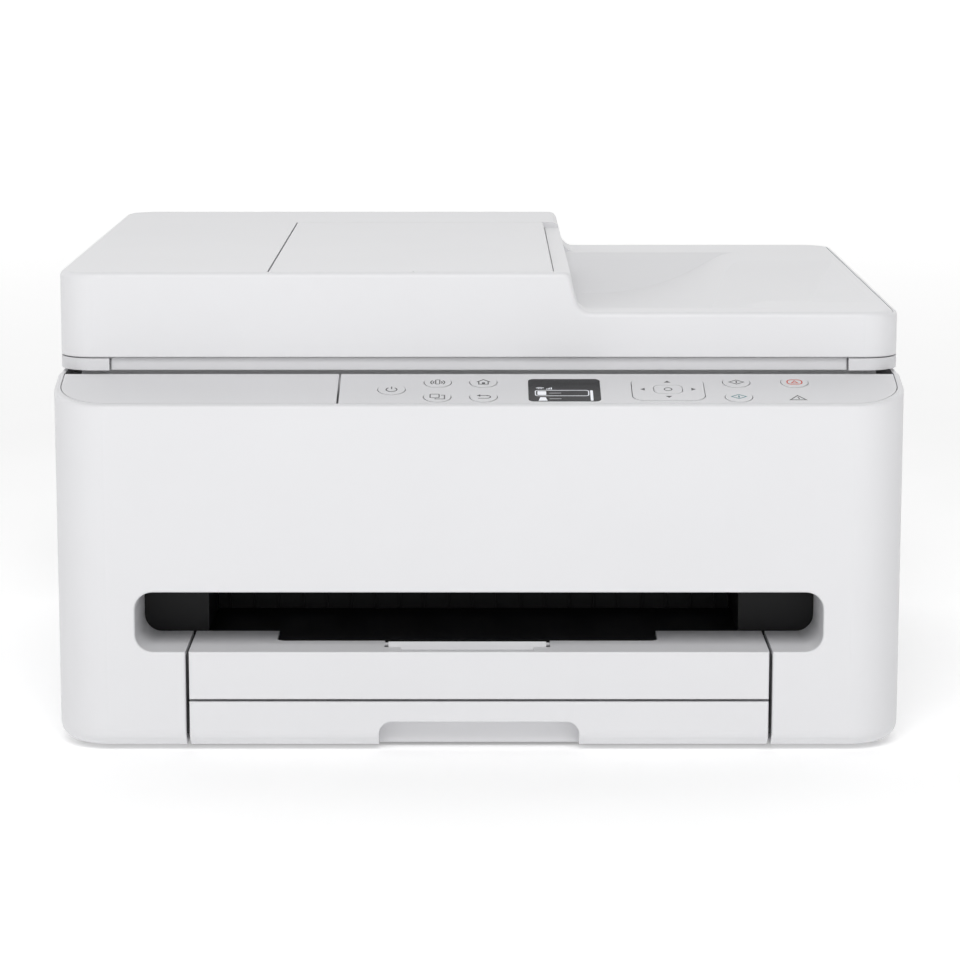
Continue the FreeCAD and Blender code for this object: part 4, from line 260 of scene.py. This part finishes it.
def sleeved(name, shaft_mm, along):
    """A steel shaft whose thicker parts are rubber, and acetal where a gear sits on its left end."""
    low, high = reach(name)
    middle = (low + high) / 2000
    middle[along] = 0
    material = bpy.data.materials.new(name)
    material.use_nodes = True
    tree = material.node_tree
    shader = tree.nodes["Principled BSDF"]
    place = tree.nodes.new("ShaderNodeTexCoord")
    parts = tree.nodes.new("ShaderNodeSeparateXYZ")
    across = tree.nodes.new("ShaderNodeVectorMath")
    across.operation = "MULTIPLY"
    across.inputs[1].default_value = [axis != along for axis in range(3)]
    radius = tree.nodes.new("ShaderNodeVectorMath")
    radius.operation = "DISTANCE"
    radius.inputs[1].default_value = middle
    thick = tree.nodes.new("ShaderNodeMath")
    thick.operation = "GREATER_THAN"
    thick.inputs[1].default_value = (shaft_mm + SLEEVE_RISE) / 1000
    gear = tree.nodes.new("ShaderNodeMath")
    gear.operation = "LESS_THAN"
    gear.inputs[1].default_value = GEAR_RIGHT / 1000
    sleeve_tint = tree.nodes.new("ShaderNodeMix")
    sleeve_tint.data_type = "RGBA"
    sleeve_tint.inputs[COLOUR_A].default_value = STEEL
    sleeve_tint.inputs[COLOUR_B].default_value = RUBBER
    gear_tint = tree.nodes.new("ShaderNodeMix")
    gear_tint.data_type = "RGBA"
    gear_tint.inputs[COLOUR_B].default_value = ACETAL
    unplated = tree.nodes.new("ShaderNodeMath")
    unplated.operation = "MAXIMUM"
    metal = tree.nodes.new("ShaderNodeMath")
    metal.operation = "SUBTRACT"
    metal.inputs[0].default_value = 1
    sheen = tree.nodes.new("ShaderNodeMapRange")
    sheen.inputs["To Min"].default_value = 0.25
    sheen.inputs["To Max"].default_value = 0.65
    links = tree.links
    links.new(place.outputs["Object"], parts.inputs["Vector"])
    links.new(place.outputs["Object"], across.inputs[0])
    links.new(across.outputs["Vector"], radius.inputs[0])
    links.new(radius.outputs["Value"], thick.inputs[0])
    links.new(parts.outputs["X"], gear.inputs[0])
    links.new(thick.outputs["Value"], sleeve_tint.inputs["Factor"])
    links.new(gear.outputs["Value"], gear_tint.inputs["Factor"])
    links.new(sleeve_tint.outputs[COLOUR_OUT], gear_tint.inputs[COLOUR_A])
    links.new(gear_tint.outputs[COLOUR_OUT], shader.inputs["Base Color"])
    links.new(thick.outputs["Value"], unplated.inputs[0])
    links.new(gear.outputs["Value"], unplated.inputs[1])
    links.new(unplated.outputs["Value"], metal.inputs[1])
    links.new(metal.outputs["Value"], shader.inputs["Metallic"])
    links.new(unplated.outputs["Value"], sheen.inputs["Value"])
    links.new(sheen.outputs["Result"], shader.inputs["Roughness"])
    return material


roller_rubber = moulded("roller_rubber", (0.035, 0.035, 0.037), 0.75, 0.3, 0.02, 0.2)
gear_acetal = moulded("gear_acetal", (0.70, 0.69, 0.65), 0.35, 0.6, 0.01)
for name, shaft_mm, along in (("feed_roller", 4, 0), ("eject_roller", 3, 0), ("feeder_roller", 2.5, 1),
                              ("feeder_eject_roller", 2.5, 1)):
    dress(sleeved(name, shaft_mm, along), name)
dress(roller_rubber, "pickup_roller")
dress(gear_acetal, "idler_gear", "motor_pinion", "pinch_rollers", "star_wheels")

# Carriage, belt and cartridges: a black moulded carriage clamped to a belt between two acetal pulleys.
# Each cartridge clips into its bay and carries a paper label with one dot for each of its inks.
belt_rubber = moulded("belt_rubber", (0.02, 0.02, 0.021), 0.7, 0.4, 0.03, 0.2)
cartridge_black = moulded("cartridge_black", (0.03, 0.03, 0.033), 0.3, 0.6, 0.01)
label_paper = moulded("label_paper", (0.74, 0.74, 0.72), 0.6, 0.2, 0.004)
dress(belt_rubber, "carriage_belt")
dress(gear_acetal, "motor_pulley", "idler_pulley")
dress(black_moulding, "carriage")
dress(cartridge_black, "ink_cartridges")
LABEL_HALF_WIDTH, LABEL_HALF_LENGTH, LABEL_CORNER, LABEL_THICKNESS, LABEL_EDGE = 15, 24, 2, 0.1, 0.04
DOT_RADIUS, DOT_STEP, DOT_FRONT, DOT_THICKNESS = 3.2, 8.5, 6, 0.04
INKS = {"black": (0.02, 0.02, 0.02), "cyan": (0.02, 0.30, 0.62), "magenta": (0.55, 0.04, 0.22),
        "yellow": (0.80, 0.62, 0.03)}
low, high = reach("ink_cartridges")
for share, inks in ((0.25, ("black",)), (0.75, ("cyan", "magenta", "yellow"))):
    middle = Vector((low.x + (high.x - low.x) * share, (low.y + high.y) / 2, high.z))
    label = bmesh.new()
    patch(label, rounded(-LABEL_HALF_WIDTH, LABEL_HALF_WIDTH, -LABEL_HALF_LENGTH, LABEL_HALF_LENGTH,
                         LABEL_CORNER))
    thicken(label, LABEL_THICKNESS, LABEL_EDGE)
    keep(f"cartridge_label_{inks[0]}", label, Matrix.Translation(middle), label_paper, "carriage")
    for n, ink in enumerate(inks):
        dot = bmesh.new()
        patch(dot, arc(0, (n - (len(inks) - 1) / 2) * DOT_STEP - DOT_FRONT, DOT_RADIUS, 0, 352.5, 47))
        thicken(dot, DOT_THICKNESS)
        dot_place = Matrix.Translation(middle + Vector((0, 0, LABEL_THICKNESS - SEAT)))
        keep(f"cartridge_dot_{ink}", dot, dot_place,
             moulded(f"ink_{ink}", INKS[ink], 0.5, 0.2, 0.003), "carriage")

# Platen, maintenance station and pickup arm: black glass-filled mouldings screwed to the chassis.
# The station caps the print heads while the carriage is parked.
dress(black_moulding, "platen", "maintenance_station", "pickup_arm")

# Exit frame: the black surround of the paper exit, screwed to the chassis from behind.
# A ribbed black guide behind its opening keeps the sheet's end from dropping under the eject roller.
exit_black = moulded("exit_black", (0.010, 0.010, 0.011), 0.45, 0.5, 0.02, 0.25)
dress(exit_black, "exit_frame")
EXIT_LEFT, EXIT_RIGHT, EXIT_FLOOR, EXIT_BACK = -123.7, 118.7, 45.5, reach("exit_frame")[1].y
GUIDE_HEIGHT, GUIDE_WALL, GUIDE_CORNER, GUIDE_EDGE = 8.2, 0.4, 1, 0.1
RIB_COUNT, RIB_STEP, RIB_START, RIB_WIDTH, RIB_FOOT, RIB_HEIGHT = 21, 11.5, 5, 1.2, 0.2, 7.6
RIB_CORNER, RIB_DEPTH, RIB_EDGE = 0.4, 1.2, 0.3
guide_place = Matrix.Translation((0, EXIT_BACK + GUIDE_WALL, 0)) @ Matrix.Rotation(math.pi / 2, 4, "X")
exit_guide = bmesh.new()
patch(exit_guide, rounded(EXIT_LEFT, EXIT_RIGHT, EXIT_FLOOR, EXIT_FLOOR + GUIDE_HEIGHT, GUIDE_CORNER, 3))
thicken(exit_guide, GUIDE_WALL, GUIDE_EDGE)
keep("exit_guide", exit_guide, guide_place, exit_black, "base")
exit_ribs = bmesh.new()
for n in range(RIB_COUNT):
    left = EXIT_LEFT + RIB_START + RIB_STEP * n
    patch(exit_ribs, rounded(left, left + RIB_WIDTH, EXIT_FLOOR + RIB_FOOT, EXIT_FLOOR + RIB_HEIGHT,
                             RIB_CORNER, 3))
thicken(exit_ribs, GUIDE_WALL + RIB_DEPTH, RIB_EDGE)
keep("exit_ribs", exit_ribs, guide_place, exit_black, "base")

# Output tray and paper support: the white drawer that catches the prints, with a flap hinged in its lip.
# Both are moulded; the flap is smoother, as the sheets slide over it.
support_white = moulded("support_white", (0.70, 0.70, 0.715), 0.36, 0.3, 0.008)
dress(white_shell, "output_tray")
dress(support_white, "output_support")

# Cassette and paper guides: a white drawer with grey sliders that hold the stack on three sides.
# A cork pad under the pickup roller parts the last sheet from the floor.
guide_grey = moulded("guide_grey", (0.40, 0.41, 0.43), 0.45, 0.5, 0.02)
cork = moulded("cork", (0.34, 0.20, 0.11), 0.85, 1.2, 0.08, 0.1)
mark_grey = moulded("mark_grey", (0.16, 0.16, 0.17), 0.55, 0.3, 0.002)
dress(white_shell, "cassette")
dress(guide_grey, "left_paper_guide", "right_paper_guide", "paper_length_guide")
CASSETTE_FLOOR, CORK_HALF_WIDTH, CORK_HALF_LENGTH, CORK_CORNER = 9, 13, 17, 2
CORK_HEIGHT, CORK_EDGE = 0.6, 0.2
low, high = reach("pickup_roller")
cassette_pad = bmesh.new()
patch(cassette_pad, rounded(-CORK_HALF_WIDTH, CORK_HALF_WIDTH, -CORK_HALF_LENGTH, CORK_HALF_LENGTH,
                            CORK_CORNER))
thicken(cassette_pad, CORK_HEIGHT, CORK_EDGE)
pad_place = Matrix.Translation(((low.x + high.x) / 2, (low.y + high.y) / 2, CASSETTE_FLOOR))
keep("cassette_pad", cassette_pad, pad_place, cork, "cassette")

# Inner deck: the grey moulding over the works, screwed to the base.
# Its opening is where the cartridges are changed.
dress(grey_moulding, "inner_deck")

# Scanner: a white case hinged at the back, with a glass bonded in a matt frame and an image sensor below.
# The sensor has a row of rod lenses and a light guide; the frame carries the marks for laying an original.
# The frame's greyer white is painted shade: it stands in for the shadow the lid's overhang casts on the
# frame's front strip.
frame_painted_shade = moulded("frame_painted_shade", (0.66, 0.66, 0.675), 0.5, 0.35, 0.02)
lens_glass = moulded("lens_glass", (0.10, 0.11, 0.12), 0.08, 0.5, 0.002, 0.8)
light_guide = moulded("light_guide", (0.70, 0.74, 0.76), 0.12, 1.0, 0.002, 0.8)
clear_glass = bpy.data.materials.new("clear_glass")
clear_glass.use_nodes = True
glass_shader = clear_glass.node_tree.nodes["Principled BSDF"]
glass_shader.inputs["Base Color"].default_value = (0.9, 0.95, 0.94, 1)
glass_shader.inputs["Transmission Weight"].default_value = 1
glass_shader.inputs["Roughness"].default_value = 0.02
dress(white_shell, "scanner_case")
dress(frame_painted_shade, "scanner_frame")
dress(clear_glass, "scanner_glass")
dress(black_moulding, "scan_bar")
STRIP_END, STRIP_CORNER, STRIP_HEIGHT, STRIP_EDGE, STRIP_SEAT = 2, 1, 0.3, 0.12, 0.05
low, high = reach("scan_bar")
for name, start, width, lens in (("scan_lens", 8, 4, lens_glass),
                                 ("scan_light_guide", 13.5, 3, light_guide)):
    strip = bmesh.new()
    patch(strip, rounded(low.x + start, low.x + start + width, low.y + STRIP_END, high.y - STRIP_END,
                         STRIP_CORNER, 4))
    thicken(strip, STRIP_HEIGHT, STRIP_EDGE)
    keep(name, strip, Matrix.Translation((0, 0, high.z - STRIP_SEAT)), lens, "scan_bar")
MARK_GAP, MARK_END, ARROW_END, MARK_WIDTH, MARK_THICKNESS = 1.5, 6, 7.5, 0.5, 0.06
SHEET_LENGTHS, SHEET_WIDTHS = (148, 210, 279, 297), (105, 148, 210, 216)
low, high = reach("scanner_glass")
size_marks = bmesh.new()
patch(size_marks, [(low.x - MARK_GAP, high.y + MARK_GAP), (low.x - ARROW_END, high.y + MARK_GAP),
                   (low.x - MARK_GAP, high.y + ARROW_END)])
for length in SHEET_LENGTHS:
    x = low.x + length
    stroke(size_marks, [(x, high.y + MARK_GAP), (x, high.y + MARK_END)], MARK_WIDTH)
for width in SHEET_WIDTHS:
    y = high.y - width
    stroke(size_marks, [(low.x - MARK_GAP, y), (low.x - MARK_END, y)], MARK_WIDTH)
thicken(size_marks, MARK_THICKNESS)
keep("size_marks", size_marks, Matrix.Translation((0, 0, high.z - SEAT)), mark_grey, "scanner_unit")

# Document cover and feeder: the white lid, with the feeder in its left half and a dish for originals.
# A foam sheet with a white face is stuck under it and presses the original on the glass.
foam_white = moulded("foam_white", (0.76, 0.76, 0.775), 0.7, 0.8, 0.03, 0.2)
dress(white_shell, "cover_shell", "cover_underside", "document_tray")
dress(guide_grey, "front_document_guide", "rear_document_guide")
PAD_SIDE, PAD_FRONT, PAD_BACK, PAD_CORNER, PAD_HEIGHT = 22, 16, 35, 6, 0.25
low, high = reach("cover_underside")
pressure_pad = bmesh.new()
patch(pressure_pad, rounded(low.x + PAD_SIDE, high.x - PAD_SIDE, low.y + PAD_FRONT, high.y - PAD_BACK,
                            PAD_CORNER))
thicken(pressure_pad, PAD_HEIGHT + SEAT)
keep("pressure_pad", pressure_pad, Matrix.Translation((0, 0, low.z - PAD_HEIGHT)), foam_white,
     "document_cover")

# Operation panel: a matt white slab, a plain cover left of it and ten keys that stand just proud.
# The symbols are printed on the keys, and the lamp mark on the panel.
panel_white = moulded("panel_white", WHITE, 0.45, 0.3, 0.012)
ink_grey = moulded("ink_grey", (0.10, 0.10, 0.105), 0.5, 0.3, 0.002)
ink_teal = moulded("ink_teal", (0.06, 0.22, 0.25), 0.5, 0.3, 0.002)
ink_red = moulded("ink_red", (0.62, 0.10, 0.07), 0.5, 0.3, 0.002)
dress(panel_white, "operation_panel", "panel_side_cover", "power_button", "function_button_1",
      "function_button_2", "function_button_3", "function_button_4", "nav_pad", "ok_button",
      "start_mono_button", "start_colour_button", "stop_button")
TILT, PANEL_FRONT, PANEL_LOW, KEY_PROUD, INK = math.radians(14), -174, 157, 0.25, 0.03
LOW_ROW, MIDDLE_ROW, HIGH_ROW, LAMP_ROW = 10.4, 19, 27.5, 9.6
POWER_KEY, LEFT_KEYS, RIGHT_KEYS, PAD_MIDDLE, START_KEYS, STOP_KEY = -39, -18.5, 2, 84.3, 115.3, 141.4


def printed(name, draw, u, s, material, body, rise=KEY_PROUD, ink=INK):
    """Print a symbol on the panel: u to the right and s up the slope, in millimetres."""
    form = bmesh.new()
    draw(form)
    thicken(form, ink + SEAT)
    height = rise - SEAT
    spot = Matrix.Translation((u, PANEL_FRONT + s * math.cos(TILT) - height * math.sin(TILT),
                               PANEL_LOW + s * math.sin(TILT) + height * math.cos(TILT)))
    keep(name, form, spot @ Matrix.Rotation(TILT, 4, "X"), material, body)


def power_symbol(form):
    """An open ring with a stroke in its gap."""
    stroke(form, arc(0, -0.4, 2.4, 125, 415), 0.55)
    stroke(form, [(0, 0.2), (0, 3.0)], 0.55)


def network_symbol(form):
    """A handset with waves on both sides."""
    stroke(form, rounded(-0.9, 0.9, -2.4, 2.6, 0.4, 3), 0.5, closed=True)
    for radius, half in ((2.0, 38), (3.1, 42)):
        stroke(form, arc(0, -0.4, radius, -half, half, 10), 0.55)
        stroke(form, arc(0, -0.4, radius, 180 - half, 180 + half, 10), 0.55)


def sheets_symbol(form):
    """Two sheets, one before the other."""
    stroke(form, rounded(-3.2, 0.8, -1.4, 2.8, 0.5, 3), 0.5, closed=True)
    stroke(form, [(1.6, 1.6), (3.2, 1.6), (3.2, -2.8), (-0.9, -2.8), (-0.9, -2.2)], 0.55)


def house_symbol(form):
    """A roof, two walls and a door."""
    stroke(form, [(-2.1, 0.4), (-2.1, -2.6), (2.1, -2.6), (2.1, 0.4)], 0.55)
    stroke(form, [(-2.9, 0.1), (0, 2.9), (2.9, 0.1)], 0.6)
    patch(form, [(-0.7, -2.4), (0.7, -2.4), (0.7, -0.4), (-0.7, -0.4)])


def return_symbol(form):
    """An arrow that turns back."""
    stroke(form, [(-1.6, 1.2), (1.5, 1.2)] + arc(1.5, -0.4, 1.6, 90, -90, 10) + [(-2.4, -2.0)], 0.55)
    patch(form, [(-3.0, 1.2), (-1.4, 2.5), (-1.4, -0.1)])


def arrows_symbol(form):
    """Four arrowheads around the pad."""
    for x, y, turn in ((0, 8.8, 0), (-11.3, 0, 90), (0, -8.8, 180), (11.3, 0, 270)):
        turned = Matrix.Rotation(math.radians(turn), 2)
        corners = ((-1.5, -0.9), (1.5, -0.9), (0, 1.1))
        patch(form, [tuple(turned @ Vector(corner) + Vector((x, y))) for corner in corners])


def select_symbol(form):
    """A ring."""
    stroke(form, arc(0, 0, 1.7, 0, 345, 23), 0.5, closed=True)


def start_symbol(form):
    """A diamond with an upright stroke."""
    stroke(form, [(-3.3, 0), (0, 2.4), (3.3, 0), (0, -2.4)], 0.5, closed=True)
    stroke(form, [(0, -1.2), (0, 1.2)], 0.6)


def stop_symbol(form):
    """A rounded frame around a triangle."""
    stroke(form, rounded(-3.3, 3.3, -2.6, 2.6, 2, 8), 0.6, closed=True)
    stroke(form, [(-1.4, -1.1), (0, 1.4), (1.4, -1.1)], 0.5, closed=True)


def alarm_symbol(form):
    """A warning triangle."""
    stroke(form, [(-3.5, -2.4), (0, 2.6), (3.5, -2.4)], 0.6, closed=True)
    stroke(form, [(0.6, -1.5), (0, 0.9)], 0.5)


printed("power_mark", power_symbol, POWER_KEY, MIDDLE_ROW, ink_grey, "power_button")
printed("network_mark", network_symbol, LEFT_KEYS, HIGH_ROW, ink_grey, "function_button_1")
printed("sheets_mark", sheets_symbol, LEFT_KEYS, LOW_ROW, ink_grey, "function_button_2")
printed("house_mark", house_symbol, RIGHT_KEYS, HIGH_ROW, ink_grey, "function_button_3")
printed("return_mark", return_symbol, RIGHT_KEYS, LOW_ROW, ink_grey, "function_button_4")
printed("arrow_marks", arrows_symbol, PAD_MIDDLE, MIDDLE_ROW, ink_grey, "nav_pad")
printed("select_mark", select_symbol, PAD_MIDDLE, MIDDLE_ROW, ink_grey, "ok_button")
printed("start_mono_mark", start_symbol, START_KEYS, HIGH_ROW, ink_grey, "start_mono_button")
printed("start_colour_mark", start_symbol, START_KEYS, LOW_ROW, ink_teal, "start_colour_button")
printed("stop_mark", stop_symbol, STOP_KEY, HIGH_ROW, ink_red, "stop_button")
printed("alarm_mark", alarm_symbol, STOP_KEY, LAMP_ROW, ink_grey, "base", 0)

# Display: a black window glued into the panel over a small liquid crystal screen.
# The screen shows a list with its chosen row framed, a scroll bar and signal marks.
display_black = moulded("display_black", (0.022, 0.022, 0.024), 0.25, 2.0, 0.001, 0.22)
dress(display_black, "display_window")
screen_white = moulded("screen_white", (0.55, 0.56, 0.58), 0.3, 0.3, 0.001)
screen_grey = moulded("screen_grey", (0.25, 0.25, 0.26), 0.3, 0.3, 0.001)
for lit, strength in ((screen_white, 0.4), (screen_grey, 0.03)):
    lit_shader = lit.node_tree.nodes["Principled BSDF"]
    lit_shader.inputs["Emission Color"].default_value = (0.9, 0.93, 1, 1)
    lit_shader.inputs["Emission Strength"].default_value = strength


def screen_list(form):
    """Framed row, row icons, scroll bar and signal marks."""
    stroke(form, rounded(25.1, 48.8, 11.9, 18.3, 1.2, 4), 0.45, closed=True)
    patch(form, rounded(26.0, 29.9, 12.9, 17.3, 0.4, 3))
    patch(form, [(26.4, 6.2), (30.4, 6.2), (29.6, 10.2), (27.2, 10.2)])
    patch(form, rounded(49.5, 50.7, 6.2, 18.3, 0.4, 2))
    for n in range(4):
        left = 30 + 0.7 * n
        patch(form, [(left, 19.3), (left + 0.4, 19.3), (left + 0.4, 20.2 + 0.5 * n), (left, 20.2 + 0.5 * n)])
    stroke(form, arc(27.2, 19.4, 1.3, 40, 140, 8), 0.4)
    stroke(form, arc(27.2, 19.4, 2.3, 40, 140, 8), 0.4)


def screen_bars(form):
    """A plain bar in each row."""
    for s in (14.6, 8.0):
        patch(form, rounded(31.2, 36.6, s, s + 0.9, 0.3, 2))


printed("screen_list", screen_list, 0, 0, screen_white, "base", 0, 0.02)
printed("screen_bars", screen_bars, 0, 0, screen_grey, "base", 0, 0.02)

# Floor, light and camera: a white sweep that glows a little more far away, a room that is bright behind and
# in front of the printer and dim at its sides, and one large softbox high in front of it.
floor_form = bmesh.new()
bmesh.ops.create_grid(floor_form, x_segments=1, y_segments=1, size=15)
floor_mesh = bpy.data.meshes.new("floor")
floor_form.to_mesh(floor_mesh)
floor_form.free()
floor = bpy.data.objects.new("floor", floor_mesh)
bpy.context.scene.collection.objects.link(floor)
floor_white = moulded("floor_white", (0.9, 0.9, 0.9), 0.9, 20, 0.001, 0.1)
floor_tree = floor_white.node_tree
floor_place = floor_tree.nodes.new("ShaderNodeTexCoord")
floor_reach = floor_tree.nodes.new("ShaderNodeVectorMath")
floor_reach.operation = "LENGTH"
floor_glow = floor_tree.nodes.new("ShaderNodeMapRange")
floor_glow.inputs["From Min"].default_value = 0.8
floor_glow.inputs["From Max"].default_value = 3.5
floor_glow.inputs["To Min"].default_value = 0.24
floor_glow.inputs["To Max"].default_value = 0.6
floor_shader = floor_tree.nodes["Principled BSDF"]
floor_shader.inputs["Emission Color"].default_value = (1, 1, 1, 1)
floor_tree.links.new(floor_place.outputs["Object"], floor_reach.inputs[0])
floor_tree.links.new(floor_reach.outputs["Value"], floor_glow.inputs["Value"])
floor_tree.links.new(floor_glow.outputs["Result"], floor_shader.inputs["Emission Strength"])
floor_mesh.materials.append(floor_white)

world = bpy.data.worlds.new("studio")
bpy.context.scene.world = world
world.use_nodes = True
room = world.node_tree
view = room.nodes.new("ShaderNodeTexCoord")
glow = None
for side, start, full, strength in (((0, 1, 0), 0.1, 0.5, 1.16), ((0, -1, 0), 0.1, 0.7, 0.62),
                                    ((-1, 0, 0), 0.3, 0.8, 0.25)):
    toward = room.nodes.new("ShaderNodeVectorMath")
    toward.operation = "DOT_PRODUCT"
    toward.inputs[1].default_value = side
    fade = room.nodes.new("ShaderNodeMapRange")
    fade.interpolation_type = "SMOOTHSTEP"
    fade.inputs["From Min"].default_value = start
    fade.inputs["From Max"].default_value = full
    fade.inputs["To Max"].default_value = strength
    total = room.nodes.new("ShaderNodeMath")
    room.links.new(view.outputs["Generated"], toward.inputs[0])
    room.links.new(toward.outputs["Value"], fade.inputs["Value"])
    room.links.new(fade.outputs["Result"], total.inputs[0])
    total.inputs[1].default_value = 0
    if glow:
        room.links.new(glow.outputs["Value"], total.inputs[1])
    glow = total
room.links.new(glow.outputs["Value"], room.nodes["Background"].inputs["Strength"])
room.nodes["Background"].inputs["Color"].default_value = (1, 1, 1, 1)

softbox = bpy.data.lights.new("softbox", "AREA")
softbox.shape = "RECTANGLE"
softbox.size, softbox.size_y = 1.6, 1.2
softbox.energy = 39
softbox_holder = bpy.data.objects.new("softbox", softbox)
softbox_holder.location = (0, -2.0, 2.2)
softbox_aim = Vector((0, 0, 0.1)) - softbox_holder.location
softbox_holder.rotation_euler = softbox_aim.to_track_quat("-Z", "Y").to_euler()
bpy.context.scene.collection.objects.link(softbox_holder)

camera = bpy.data.cameras.new("camera")
camera.lens = 121.875
camera.sensor_width = 36
camera_holder = bpy.data.objects.new("camera", camera)
camera_holder.location = (0.00045, -1.5905, 0.3683)
camera_holder.rotation_euler = (math.radians(80.212), 0, 0)
bpy.context.scene.collection.objects.link(camera_holder)
bpy.context.scene.camera = camera_holder
bpy.context.scene.view_settings.view_transform = "Standard"
